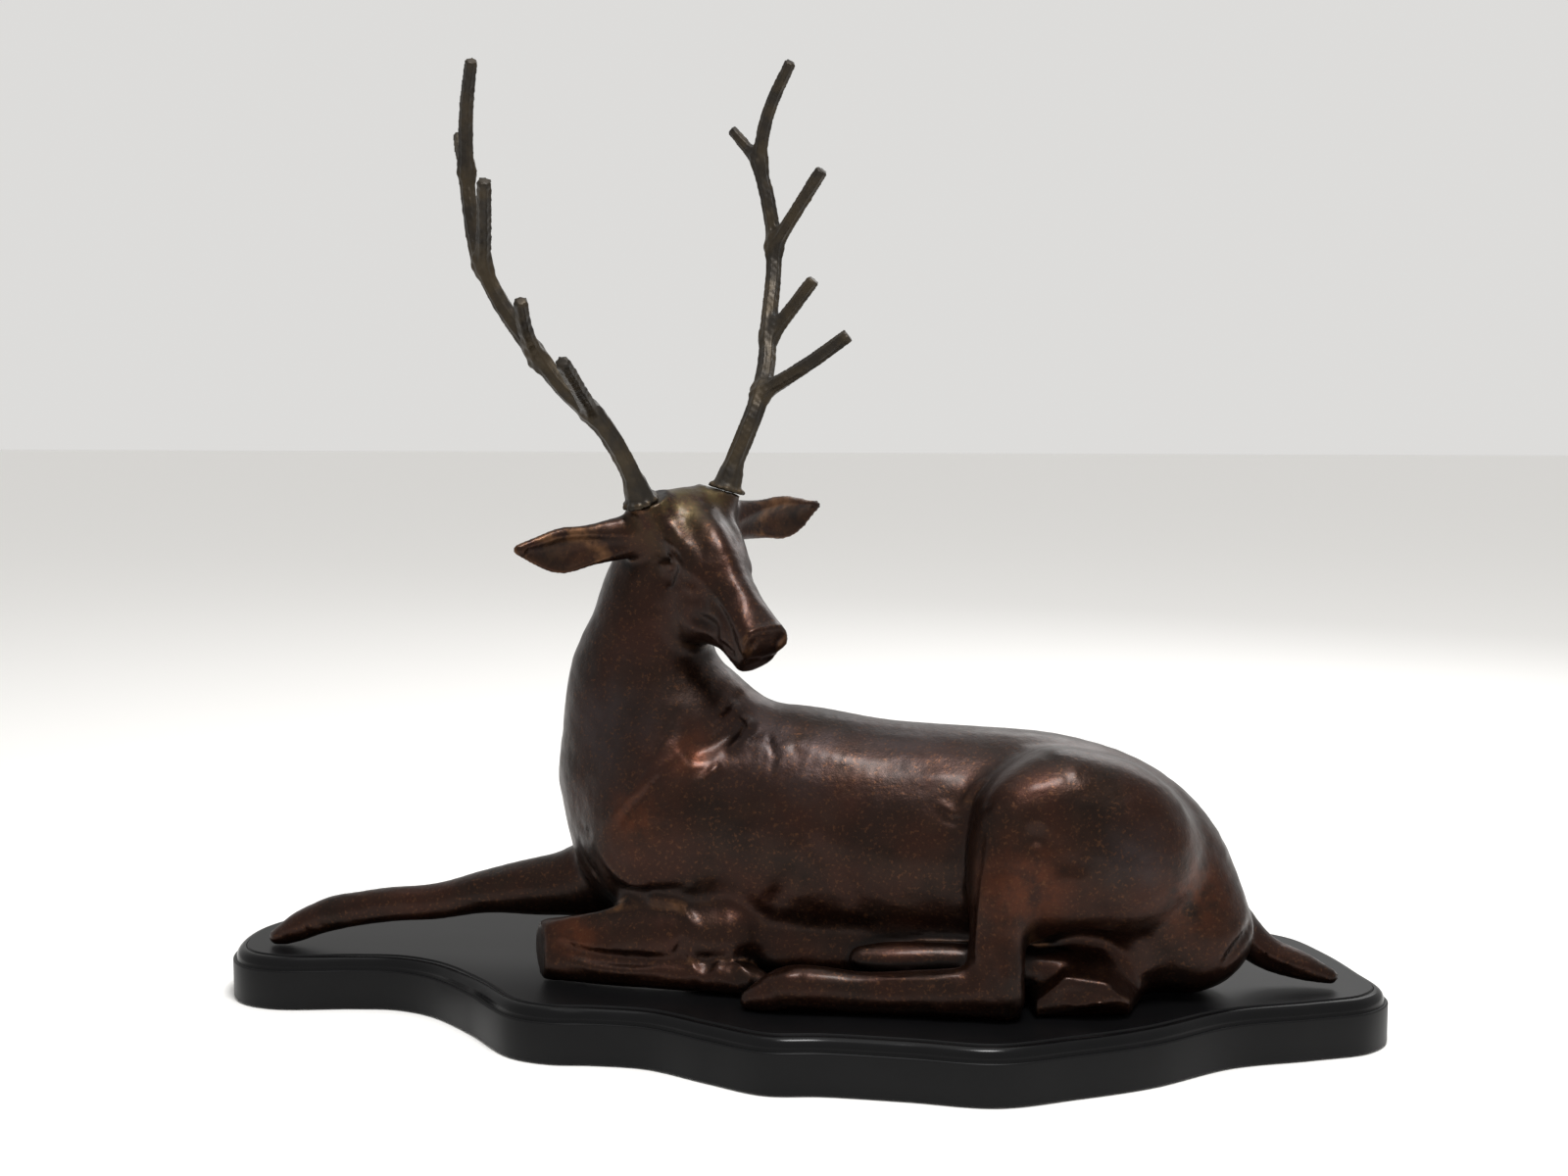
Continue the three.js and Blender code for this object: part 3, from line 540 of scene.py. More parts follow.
# %% Frame of the head
CROWN = np.array([-51.8, 3.5, 249.5])
HEAD_TURN = math.radians(40.9)
HEAD_LEAN = math.radians(5.2)
FACE_SLOPE = math.radians(44)

forward = np.array([math.sin(HEAD_TURN), -math.cos(HEAD_TURN), 0])
level = np.array([math.cos(HEAD_TURN), math.sin(HEAD_TURN), 0])
lateral = math.cos(HEAD_LEAN) * level + np.array([0, 0, math.sin(HEAD_LEAN)])
upright = -math.sin(HEAD_LEAN) * level + np.array([0, 0, math.cos(HEAD_LEAN)])
along_face = math.cos(FACE_SLOPE) * forward - math.sin(FACE_SLOPE) * upright
into_face = -math.sin(FACE_SLOPE) * forward - math.cos(FACE_SLOPE) * upright


def crown_point(ahead, out, up):
    return CROWN + ahead * forward + out * lateral + up * upright


POLL = crown_point(1, 0, 3.7)
print("poll at", np.round(POLL, 1))

# %% [markdown]
# ## The face
#
# A skull, a long muzzle with a flat bridge and a deep jaw carry the small forms. The nose pad is a flat
# cut across the end, with a crisp top edge. Brow, lids, the ridge under the eye, nostril and mouth line
# are pressed and marked last.

# %% Face
HEAD_MIDDLE, HEAD_REACH = (45, 15), 62
FACE_MARKS = [
    # The lids
    ([[20, 22, 23], [22.3, 21, 15], [26.6, 20, 10.3], [32, 18, 9.3]], 1.1, -1.4),
    ([[20.5, 22, 24.5], [25, 20.8, 22.3], [29.8, 19, 17.2], [33, 17.6, 10.5]], 1.1, -1.2),
    ([[16, 23, 18], [21.5, 21.8, 8.5], [29, 19, 4.8], [36, 16.5, 6]], 1.5, 0.9),
    ([[21, 22.5, 30], [30.5, 19.5, 22.5], [41, 16, 14]], 1.9, 1.0),
    # Ridges of the cheek and the hollows between them
    ([[41, 17, 14], [45, 15.5, 12.5], [49, 14.5, 11]], 1.9, -1.5),
    ([[18, 22.5, 29], [23, 22, 34], [28, 21, 38.5]], 1.9, -1.3),
    ([[25, 22, 27], [30, 21, 34]], 2.4, 1.0),
    ([[50, 15, 24], [59, 13.5, 19.5], [70, 12, 14]], 3.0, 1.4),
    ([[54, 14, 28], [65, 13, 22], [76, 11.5, 16.5]], 3.0, -1.0),
    ([[35, 17, 6], [49, 14, 3.5], [63, 12, 3.5], [76, 12, 4]], 2.2, -0.8),
    # The long ridge of the nose and the shallow hollows beside it
    ([[14, 9, -4], [28, 10, -3], [42, 8.5, -1.5]], 5, 0.9),
    ([[8, 0, -5], [30, 0, -5.5], [55, 1, -1.5], [80, 2, -1]], 4.5, -0.9),
    ([[56, 12.5, 8], [68, 11.5, 7.5], [78, 11.5, 7]], 2.2, 0.8),
    # Nose pad: its raised rim, a nostril and the crest of the lip
    ([[83, 0, -1.8], [83.2, 6, -1.6], [83.5, 11, -0.5]], 1.1, -0.7, 0.1),
    ([[84, 9, 3], [86.5, 7.5, 5.5], [87.5, 5, 5]], 1.4, 1.1),
    ([[82, 12, 6], [86.5, 9.5, 9], [88.5, 6, 9.5]], 1.6, -0.9),
    # Mouth line, lips and chin
    ([[90, 0, 15], [89, 5.5, 15], [85, 8.5, 15.8], [77, 11, 18], [68, 13, 21]], 1.2, 1.5, 0.15),
    ([[88, 5, 18], [83, 8.5, 18.5], [75, 11, 21.5]], 1.6, -0.8),
    ([[66, 13, 23], [69, 12.5, 18.5], [71, 12, 15.5]], 1.6, 0.9),
    ([[86, 4, 22], [77, 8, 25]], 1.2, 0.5),
]


def face_clay():
    face = Clay()
    face.add(Lump([18, 0, 17], [26, 20, 22]), 0)
    face.add(Lump([4, 0, 9.5], [13, 22, 13]), 8)
    face.add(Lump([30, 0, 11], [22, 15.5, 17]), 8)
    # Muzzle, bridge, jaw, the corner of the nose and the cheek
    face.add(Roll([
        [34, 0, 15, 17, 18], [55, 0, 12.5, 13, 15], [70, 0, 12, 11, 13], [86, 0, 12, 9.5, 11],
    ]), 8)
    face.add(Roll([[48, 0, 7, 10.5, 8], [66, 0, 5.5, 9.5, 6.2], [89, 0, 4.5, 12.3, 5.8]]), 3)
    face.add(Roll([
        [26, 0, 36, 16, 18], [45, 0, 30, 14.5, 16], [65, 0, 21, 11.5, 12], [83, 0, 19, 9.5, 8.5],
    ]), 7)
    face.add(Roll([[60, 2.5, 6, 6.5, 5], [74, 4.5, 5.4, 6.2, 5.8], [89, 7, 5.4, 5.8, 6.4]]), 2)
    face.add(Lump([38, 11.5, 29], [21, 9, 16]), 7)
    # The side of the head sinks in round the eye; the nose ends in a flat pad, narrower at the chin
    face.mark([[20, 22, 18], [28, 21, 15], [37, 19, 14]], 8.5, 2.6)
    face.cut(Flat([84.8, 0, -1.5], [0.9, 0, -0.43]), 0.8)
    face.cut(Flat([89.7, 0, 10], [1, 0, 0.12]), 2)
    # Brow ridge and eyeball
    face.add(Roll([[10, 16, 5, 4], [20, 14.8, 4.5, 4.6], [29, 13.2, 5, 4.6], [40, 10.5, 6.5, 4]]), 6)
    face.add(Lump([27.3, 16.9, 15.5], [7.2, 3.2, 2.9], 50), 0.6)
    face.mark_all(FACE_MARKS)
    return face


class Head:
    """The face's clay, read in the head's own frame."""

    def __init__(self):
        self.face = face_clay()
        centre = POLL + HEAD_MIDDLE[0] * along_face + HEAD_MIDDLE[1] * into_face
        self.low, self.high = centre - HEAD_REACH, centre + HEAD_REACH

    def in_face(self, p):
        q = p - POLL
        return np.column_stack([q @ along_face, np.abs(q @ lateral), q @ into_face])

    def __call__(self, p, ball=None):
        if ball is not None:
            ball = (self.in_face(ball[0][None])[0], ball[1])
        return self.face(self.in_face(p), ball)


# %% [markdown]
# ## Body
#
# The body lies along X with its chest at the left. One long roll makes the trunk and another the neck. The
# shoulders, thighs and rump are lumps pressed on to it. The stations are the ones that the plain solids
# were made from, so the mesh keeps their form.

# %% Trunk, neck and muscles


def press_trunk(stag):
    m = BODY_MID
    stag.add(Roll([
        [-74, m, 92, 33, 42], [-40, m, 93, 42, 59], [-5, m, 92, 46, 61], [40, m, 87.5, 49, 59],
        [80, m, 87, 51, 57.5], [115, m, 85, 51, 57], [141, 10, 81, 48, 54], [158, 8, 74, 43, 48],
        [172, 6, 63, 34, 40],
    ]), 0)
    stag.add(Roll([
        [-54, m, 98, 44, 55], [-62, m, 125, 40, 55], [-70, m, 148, 34, 44], [-73, m, 166, 30, 37],
        [-70.5, 12.5, 186, 27, 30], [-66.5, 13, 205, 25, 27.5], [-62, 13, 222, 22, 24],
    ], up=(1, 0, 0), steps=8), 10)
    stag.add(Lump([-58, -14, 98], [36, 23, 44]), 10)
    stag.add(Lump([-54, 36, 98], [36, 22, 46]), 10)
    stag.add(Lump([138, -20, 95], [49, 34, 43.5], 14), 8)
    stag.add(Lump([122, 34, 78], [46, 30, 42], 12), 10)
    stag.add(Lump([117, -34, 88], [25, 22, 33], -12), 10)
    stag.add(Lump([179, -3, 54], [35, 28, 30]), 8)
    stag.add(Roll([[-40, -4, 42, 22, 18], [40, -9, 40, 26, 18], [150, -8, 42, 30, 20]]), 10)


# %% [markdown]
# ## Legs and tail
#
# Three legs are folded under the body and one foreleg is stretched out in front. A hoof is a roll that
# ends blunt, split by a mark, and a joint is a slight swelling with a crease on either side of it.

# %% Legs


def press_legs(stag):
    # Near hind leg: shin, the hollow under the thigh, cannon and hoof
    stag.add(Roll([
        [122, -26, 116, 24], [105, -37, 112, 18], [97.5, -46, 90, 14], [96.5, -51, 62, 12.5],
        [97.5, -54, 44, 13.5], [103, -56, 34, 9],
    ], up=(1, 0, 0), steps=7), 12)
    stag.cut(Roll([
        [116, -52, 30, 20, 8], [119, -52, 46, 20, 9], [129, -52, 55, 20, 9], [143, -52, 55, 20, 9],
        [154, -52, 48, 18, 9], [161, -52, 36, 16, 8],
    ]), 4)
    stag.add(Roll([
        [98, -56, 37.5, 11, 12.5], [70, -57, 36.5, 9, 11], [40, -57, 35, 8, 10], [14, -57, 36.5, 9, 10.5],
        [4, -57, 36, 9.5, 10], [-4, -57, 33, 8.5, 8.5], [-13, -57, 29.5, 5],
    ]), 4)
    # Far hind foot: its hock and its cannon show on the near side
    stag.add(Facets([135, -40, 36], [
        (0, -1, 0.12, 15), (0, 1, 0, 16), (0, 0, -1, 11), (0.1, -0.35, 1, 11.5), (-0.62, -0.25, 0.8, 14.5),
        (0.72, -0.25, 0.72, 15), (1, -0.3, -0.2, 23), (-1, -0.2, 0, 24), (0.15, -0.8, -0.7, 14),
    ]), 4)
    stag.add(Roll([[125, -36, 42, 10], [80, -38, 45, 9], [50, -40, 45, 9], [36, -42, 46, 6.5]]), 2)
    # Near foreleg, folded on itself
    stag.add(Roll([
        [-28, -22, 48, 16, 18], [-60, -24, 47, 14, 17], [-90, -22, 43, 12, 15],
        [-113, -20, 40.5, 10.5, 13.5],
    ]), 8)
    stag.add(Roll([
        [-112, -24, 33, 8], [-80, -31, 33, 7.5], [-45, -34, 33, 7.5], [-20, -37, 33, 8], [-8, -38, 30, 6],
    ]), 3)
    # Far foreleg, stretched forward
    stag.add(Roll([
        [-92, 26, 64, 20, 24], [-114, 24.5, 59.5, 15, 17], [-131, 23, 57.5, 13, 14.6],
        [-156, 21, 54.6, 11, 11], [-180, 20, 49.2, 9, 9.2], [-204, 18, 47.2, 8.6, 9],
        [-219, 17, 45, 8.4, 8.8], [-232, 16, 42.6, 8.8, 9],
        [-241, 15.5, 39.5, 8.4], [-252, 15, 34.5, 7.4], [-262, 14.5, 29.5, 4.8],
    ]), 6)
    # Tail
    stag.add(Roll([[204, BODY_MID, 56, 11], [220, 11, 41, 8.5], [237, 9, 35, 7], [250, 7, 31, 4.3]]), 4)


# %% [markdown]
# ## Ears and the seats of the antlers
#
# An ear is a leaf with a hollow pressed into its front. A short stem under each antler ends in a flat, and
# the antler stands on that flat.

# %% Ears and stems
BEAM = [
    [-1, 22.6, 0, 5.8], [1.5, 28.5, 17, 5.1], [3, 42, 41, 5.1], [-6, 55, 59, 4.9],
    [-15, 64, 77, 4.6], [-23, 74, 99, 4.4], [-28, 80, 120, 4.3], [-31.5, 80.5, 140, 4.1],
    [-34, 79.3, 160, 3.9], [-25, 81, 183, 3.7], [-9, 84, 202.5, 3.3],
]
SEAT_HEIGHT = 3
SEAT_REACH = 14


def seat(side):
    """A point on the flat under an antler, and the way up from it."""
    foot, following = (crown_point(a, side * w, h) for a, w, h, _ in BEAM[:2])
    up = unit(following - foot)
    return foot + SEAT_HEIGHT * up, up


def press_ears(stag):
    for side in (-1, 1):
        at = lambda a, w, h, *size: [*crown_point(a, side * w, h), *size]
        stag.add(Roll([at(-3, 14, -8, 12), at(0, 24, 8, 8.4)]), 8)
        stag.add(Roll([
            at(-6, 20, -12, 8, 11), at(-8, 45, -14, 4.5, 10), at(-10, 64, -15, 4, 10.8),
            at(-12, 83, -12, 2.2, 3),
        ], up=upright, steps=9), 5)
        stag.cut(Roll([
            at(1, 33, -16, 3, 4), at(-2.5, 48, -16, 4.5, 7), at(-5.5, 63, -17, 4, 8.5),
            at(-9, 79, -14, 1.5, 2.5),
        ], up=upright, steps=9), 1.5)


# %% [markdown]
# ## Tool marks on the body
#
# The marks give the casting its life: the fold where the neck turns into the shoulder, wrinkles in front
# of it, the pinch of skin on the flank, ridges down the shin, and the creases round hooves and knee.

# %% Marks
# Each row: points along the mark, its width and its depth, and a fade of its ends where it isn't the usual
NECK_MARKS = [
    # The fold from the throat to the shoulder, and the crest on its lower side
    ([[-22, -12, 148], [-32, -19, 143], [-43, -25, 137], [-48, -27, 133]], 6.5, 3.2),
    ([[-48, -27, 133], [-58, -31, 125], [-66, -33, 116], [-73, -33, 109], [-80, -31, 98]], 2.0, 1.8),
    ([[-52, -29, 135], [-62, -32, 126], [-71, -33, 116], [-80, -32, 106], [-87, -28, 94]], 2.6, -1.3),
    (
        [[-88, -26, 90], [-83, -30, 82], [-74, -33, 75], [-62, -34, 70], [-50, -35, 71], [-40, -36, 76]],
        3, -1.6,
    ),
    ([[-84, -22, 78], [-76, -28, 70], [-64, -32, 66]], 3, 1.6),
    ([[-51, -19, 156], [-56, -24, 146], [-61, -28, 137], [-67, -31, 128], [-70, -32, 122]], 1.5, 1.2),
    # Ridges where the neck turns over the shoulder
    ([[-18, -8, 150], [-22, -16, 144], [-28, -22, 136]], 2.4, -1.8),
    ([[-30, -26, 131], [-36, -30, 126], [-44, -33, 121]], 2.2, -1.6),
    ([[-26, -5, 157], [-32, -16, 148], [-41, -22, 140]], 2.2, -1.6),
    ([[-30, 8, 167], [-33, -2, 162], [-34, -10, 155]], 2.2, -1.4),
    ([[-24, 2, 162], [-29, -8, 156], [-33, -14, 150]], 2.0, 1.2),
    # Small cuts left in the wax
    ([[-79, -15, 180], [-74, -16, 179]], 1.1, 1.6),
    ([[-101, -16, 98], [-91, -25, 94]], 1.4, 1.2),
    ([[-103, -13, 90], [-98, -16, 80], [-89, -20, 73]], 1.8, 1.4),
    ([[-100, -10, 84], [-92, -17, 70], [-84, -20, 64]], 1.6, -1.0),
    ([[-11, -13, 143], [-7, -21, 135], [-8, -26, 127]], 1.2, 0.9),
    ([[2, -17, 140], [6, -24, 133]], 1.2, 0.8),
]

FORELEG_MARKS = [
    # The forearm has a sharp top and a ledge over the cannon
    ([[-116, -26, 53], [-99, -26, 56], [-84, -26, 60], [-69, -30, 68]], 2.6, -1.8),
    ([[-112, -30, 50], [-100, -33, 46], [-88, -35, 44], [-72, -36, 44], [-54, -38, 45]], 1.5, -0.9),
    ([[-111, -31, 45], [-97, -34, 42.5], [-80, -37, 41], [-56, -39, 41.5]], 2.6, 2.3),
    ([[-110, -32, 39.5], [-92, -36, 36.5], [-73, -39, 35.5], [-50, -40, 38]], 2.4, -1.7),
    ([[-68, -31, 68], [-51, -32, 66], [-44, -35, 59], [-39, -37, 53]], 2.4, -1.6),
    ([[-83, -20, 69], [-70, -29, 71], [-58, -33, 71], [-44, -34, 73]], 3.2, 2.2),
    ([[-46, -37, 52], [-50, -38, 42]], 2.2, 1.5),
    # Facets along the folded cannon
    ([[-45, -38, 47], [-42, -40, 39], [-39, -42, 33]], 2.0, -1.3),
    ([[-36, -38, 44], [-35, -42, 36]], 2.6, 1.4),
    ([[-30, -38, 42], [-31, -43, 35]], 2.0, -1.2),
    ([[-26, -38, 45], [-20, -41, 41], [-13, -44, 34]], 2.0, -1.5),
    ([[-25, -40, 38], [-20, -44, 32]], 2.4, 1.2),
    # The stretched foreleg: a casting seam, the knee, the fetlock and the toes
    ([[-157, 10, 64], [-157, 8, 52], [-156, 10, 44]], 1.3, 1.3),
    ([[-220, 10, 52], [-180, 11, 57], [-160, 11, 63], [-120, 14, 71]], 3.2, -0.9),
    ([[-175, 12, 42], [-160, 11, 42]], 2.0, -1.2),
    ([[-224, 8, 47], [-220, 10, 38]], 2.0, 1.0),
    ([[-238, 8, 43], [-237, 9, 36]], 1.8, 1.1),
    ([[-243, 9, 43], [-245, 9, 35], [-242, 9, 28]], 1.6, 1.3),
    ([[-246, 15, 42], [-256, 14, 35], [-263, 14, 29]], 1.8, 1.1),
]

HIND_MARKS = [
    # The pinch of skin on the flank
    ([[70, -31, 118], [74, -33, 112.5], [79, -33, 113], [83, -31, 119], [90, -26, 127]], 1.4, -2.4, 0.2),
    ([[69, -33, 114], [75, -35, 109], [82, -34, 110]], 1.9, 1.5),
    # The sharp shin, the edge of the thigh and the hollows on it
    (
        [[95, -49, 122], [94, -55, 109], [91, -60, 92], [89, -61, 75], [88, -62, 60], [88, -62, 50]],
        2.3, -1.9,
    ),
    ([[84, -38, 118], [80, -40, 104], [79, -41, 82], [79, -38, 58]], 3.2, 2.4),
    ([[113, -54, 113], [113, -55, 103]], 4.2, 2.0),
    ([[146, -50, 114], [149, -52, 104], [158, -51, 100]], 4.5, 1.2),
    ([[112, -52, 76], [119, -54, 84], [128, -55, 89], [138, -55, 87]], 2.6, -1.6),
    ([[115, -49, 89], [124, -51, 95], [134, -53, 95]], 3.5, 1.1),
    ([[100, -57, 84], [104, -55, 66]], 4, 1.0),
    # The lip of the hollow, the hock and the heel
    ([[108, -47, 50], [113, -45, 58], [128, -44, 65], [144, -44, 63], [157, -45, 54]], 2.6, -1.2),
    ([[99, -64, 64], [101, -67, 48], [102, -67, 32]], 2.2, -1.6),
    ([[94, -62, 60], [95, -66, 46], [94, -67, 36]], 2.6, 1.3),
    ([[86, -60, 51], [79, -62, 47], [66, -64, 45], [30, -63, 44]], 2.2, -1.2),
    ([[66, -65, 31], [84, -67, 29], [98, -67, 30]], 2.0, -1.2),
    # The far hock is cut in facets
    ([[120, -50, 32], [133, -55, 33], [146, -54, 35], [158, -46, 32]], 2.4, -1.3),
    ([[126, -55, 39], [136, -57, 40], [146, -54, 40]], 3.0, 1.2),
    # Toes of the near hind foot
    ([[-5, -60, 41], [-2, -65, 36], [-3, -65, 28]], 1.5, 1.6),
    ([[4, -60, 43], [4, -65, 40]], 3.0, -2.0),
    ([[9, -60, 44], [11, -66, 38]], 1.8, 1.2),
    ([[-18, -58, 33], [-9, -62, 37]], 1.6, -1.0),
    ([[-16, -62, 28], [-6, -66, 30]], 1.5, 0.9),
    # Tail and the crease above its root
    ([[212, -7, 61], [205, -20, 53], [197, -24, 43]], 2.6, 2.0),
    ([[214, 1, 49], [224, 3, 41], [236, 3, 37], [246, 3, 34]], 2.0, -1.5),
    ([[216, 2, 40], [232, 1, 32]], 2.6, 1.0),
    # Soft dents on the flank and belly
    ([[2, -35, 88], [0, -33, 76], [-8, -29, 65]], 5, 1.5),
    ([[10, -37, 99], [24, -37, 84], [34, -36, 70]], 5, 1.2),
    ([[46, -33, 111], [48, -37, 95]], 6, 1.2),
    ([[-24, -33, 118], [-16, -36, 104]], 5, 1.0),
]
print("marks on the body:", len(NECK_MARKS + FORELEG_MARKS + HIND_MARKS), "on the face:", len(FACE_MARKS))

# %% [markdown]
# Everything is pressed on in its order, because a flat or a mark only works on the clay that is there
# before it. The grid lines are closest round the face and the antler seats, where the forms are smallest.

# %% The whole stag
READING_STEP = 5


def model_stag():
    stag = Clay(floor=FLOOR)
    press_trunk(stag)
    press_legs(stag)
    stag.add(Head(), 10)
    press_ears(stag)
    stag.mark_all(NECK_MARKS)
    # The near knee ends in a cut face
    stag.cut(Flat([-118.5, -22, 44], [-0.86, -0.5, 0.06], 26), 1)
    stag.cut(Flat([-112, -33, 44], [-0.4, -0.91, 0.05], 13), 1.2)
    stag.mark_all(FORELEG_MARKS + HIND_MARKS)
    for side in (-1, 1):
        point, up = seat(side)
        stag.cut(Flat(point, up, SEAT_REACH), 0)
    return stag


def spaced(*stretches):
    """Grid lines through stretches of (start, end, spacing)."""
    lines = []
    for start, end, spacing in stretches:
        count = max(round((end - start) / spacing), 1)
        lines.append(np.linspace(start, end, count, endpoint=False))
    return np.concatenate(lines + [[stretches[-1][1]]])


stag_clay = model_stag()
xs = spaced((-270, -125, 2.3), (-125, -62, 1.7), (-62, -8, 1.0), (-8, 34, 1.7), (34, 258, 2.05))
ys = spaced((-79, -48, 1.6), (-48, 4, 1.15), (4, 80, 2.1))
zs = spaced((FLOOR - 1.6, 158, 2.0), (158, 194, 1.6), (194, 246, 1.0), (246, 262, 1.5))
stag_verts, stag_quads = skin(read_clay(stag_clay, xs, ys, zs), xs, ys, zs)
stag_verts[:, 2] = np.maximum(stag_verts[:, 2], FLOOR)
stag_hollow_shade, stag_ridge = hollow_shade_and_ridges(stag_clay, stag_verts, stag_quads, READING_STEP)

# %% [markdown]
# The browning didn't take alike all over. It is redder in a few clouds on the shoulder fold, the thigh and
# the rump, greyer under wax on the neck, the back and the nose, and olive at the foot of the antlers. Each
# of these places is a spot with a middle and a reach, kept with the mesh as a number per vertex.

# %% Where the patina differs
RUST_SPOTS = [
    ((-69, -33, 108), 13), ((-44, -26, 136), 11), ((108, -55, 84), 20), ((184, -28, 82), 22),
    ((-98, -30, 48), 12),
]
FILM_SPOTS = [
    ((-88, -16, 148), 30), ((10, 0, 150), 42), ((60, 0, 145), 30), ((157, -48, 98), 15),
    ((-30, -5, 225), 12),
]
CRUST_SPOTS = [((-56, -2, 250), 17), ((-45, 8, 252), 12)]


def spotted(points, spots):
    """1 in the middle of each spot, fading out with distance."""
    near = [np.exp(-((points - centre) ** 2).sum(1) / reach**2) for centre, reach in spots]
    return np.max(near, axis=0)


stag_readings = {
    "hollow_shade": stag_hollow_shade,
    "ridge": stag_ridge,
    "rust": spotted(stag_verts, RUST_SPOTS),
    "film": spotted(stag_verts, FILM_SPOTS),
    "crust": spotted(stag_verts, CRUST_SPOTS),
}
print("mean readings:", {name: round(float(values.mean()), 3) for name, values in stag_readings.items()})
stag = cast_mesh("stag_casting", worked(stag_verts, stag_quads, 3), stag_quads, stag_readings)

# %% [markdown]
# ## Antlers
#
# Each antler is a beam with four tines, all tapering rolls. The pair was modelled alike and mirrored by
# the maker, so one set of stations serves both sides. Grooves run along them as on real antler, and the
# foot spreads in a rough rim where it was set on the skull.

# %% Antler forms
TINES = [
    [[1, 46, 47, 4.4], [18, 60, 58, 4], [34, 75, 71, 3.8]],
    [[-14, 63, 72, 4.3], [-5, 72, 86, 3.9], [5, 78, 98, 3.7]],
    [[-28, 79, 116, 4.2], [-13, 83.5, 132, 3.8], [3, 89, 150, 3.7]],
    [[-34, 79, 158, 3.6], [-43, 77, 168, 3.3], [-49, 74.5, 175.5, 3]],
]
ANTLER_CELL = 0.85
TIP_SHARE = 0.5
TIP_REACH = 8
FLUTES, GROOVE = 7, 0.9
PEARLS, PEARL_RING, PEARL_SIZES = 11, (6.8, 7.6), (1.5, 2.5)
ANTLER_READING_STEP = 2.5
ROUGH_SIZES, ROUGH_DEPTH = (6, 5, 4.4, 3.6, 3, 2.6), 0.5
# The foot comes down to this height over its seat, so that no light shows through the joint
CONTACT = 0.05
draw = np.random.default_rng(11)


def model_antler(side):
    along = lambda rows: [[*crown_point(a, side * w, h), r] for a, w, h, r in rows]
    antler = Clay()
    for rows in [BEAM] + TINES:
        antler.add(Roll(along(rows), up=forward, flutes=FLUTES, groove=GROOVE), 5)
    antler.add(Roll(along([[-1, 21.8, 0, 8.2], [0.5, 25.8, 9, 5.2]])), 5)
    # Every tip is blunt
    for rows in [BEAM] + TINES:
        before, end = (np.array(row[:3]) for row in along(rows)[-2:])
        onward = unit(end - before)
        antler.cut(Flat(end + TIP_SHARE * rows[-1][3] * onward, onward, TIP_REACH), 0.8)
    # Pearls of rough metal round the foot
    point, up = seat(side)
    across = unit(np.cross(up, forward))
    back = np.cross(up, across)
    for n in range(PEARLS):
        turn = 2 * math.pi * (n + 0.3 * draw.random()) / PEARLS
        out = draw.uniform(*PEARL_RING)
        size = draw.uniform(*PEARL_SIZES)
        place = point + out * (math.cos(turn) * across + math.sin(turn) * back) + 0.5 * size * up
        antler.add(Lump(place, [size, size, size]), 1.2)
    antler.cut(Flat(point + CONTACT * up, -up, SEAT_REACH), 0)
    return antler


def cast_antler(name, side):
    clay = model_antler(side)
    rolls = [form for kind, form, _ in clay.steps if kind == "add"]
    low = np.min([r.low for r in rolls], axis=0) - 2
    high = np.max([r.high for r in rolls], axis=0) + 2
    lines = [spaced((low[n], high[n], ANTLER_CELL)) for n in range(3)]
    verts, quads = skin(read_clay(clay, *lines), *lines)
    hollow_shade, ridge = hollow_shade_and_ridges(clay, verts, quads, ANTLER_READING_STEP)
    rough = uneven(verts, ROUGH_SIZES, ROUGH_DEPTH, seed=7)
    # The rim stays as it is, so that it meets the seat
    point, up = seat(side)
    rough *= np.clip((verts - point) @ up / 3 - 0.4, 0, 1)
    verts = verts - rough[:, None] * vertex_normals(verts, quads)
    return cast_mesh(name, verts, quads, {"hollow_shade": hollow_shade, "ridge": ridge})


antler_right = cast_antler("antler_right_casting", -1)
antler_left = cast_antler("antler_left_casting", 1)

# %% [markdown]
# ## The board
#
# A board like this is sawn to a free outline and its edge is cut with a moulding bit that follows the edge
# all the way round. Geometry Nodes do the same: a profile is swept along the closed outline, and the
# flat top and bottom are filled in and joined on.

# %% Outline and profile of the board
OUTLINE = [
    (-285.5, 13), (-275, -2.5), (-256, -9), (-217, -3.8), (-196, -3), (-176, -10.5), (-150, -33),
    (-123, -62), (-103, -68.5), (-84, -67.5), (-58, -69.3), (-29, -83), (-1.5, -94.8),
    (24, -92.9), (60, -94.5), (99, -97.2), (132, -83), (166, -64.8), (203, -36),
    (240, -21.3), (268, -8), (278.5, 10), (272, 38), (262, 68), (247, 95), (220, 109),
    (175, 108), (120, 100), (60, 104), (0, 114), (-60, 117), (-115, 108), (-165, 96),
    (-205, 92), (-245, 90), (-272, 74), (-287, 46),
]
OUTLINE_STEPS = 520
GAP_STEPS = 60


def closed_curve(points, count):
    """Points in even steps along a smooth closed curve, each gap weighed by the root of its length."""
    p = np.array(points, float)
    n = len(p)
    fine = []
    for i in range(n):
        a, b, c, d = p[(i - 1) % n], p[i], p[(i + 1) % n], p[(i + 2) % n]
        k0, k1, k2 = (math.sqrt(math.dist(*pair)) for pair in ((a, b), (b, c), (c, d)))
        t1 = ((b - a) / k0 - (c - a) / (k0 + k1) + (c - b) / k1) * k1
        t2 = ((c - b) / k1 - (d - b) / (k1 + k2) + (d - c) / k2) * k1
        for t in np.arange(GAP_STEPS) / GAP_STEPS:
            h = (2 * t**3 - 3 * t**2 + 1, t**3 - 2 * t**2 + t, -2 * t**3 + 3 * t**2, t**3 - t**2)
            fine.append(h[0] * b + h[1] * t1 + h[2] * c + h[3] * t2)
    fine = np.array(fine + [fine[0]])
    run = np.concatenate([[0], np.cumsum(np.linalg.norm(np.diff(fine, axis=0), axis=1))])
    steps = np.linspace(0, run[-1], count, endpoint=False)
    return np.column_stack([np.interp(steps, run, fine[:, n]) for n in range(2)])


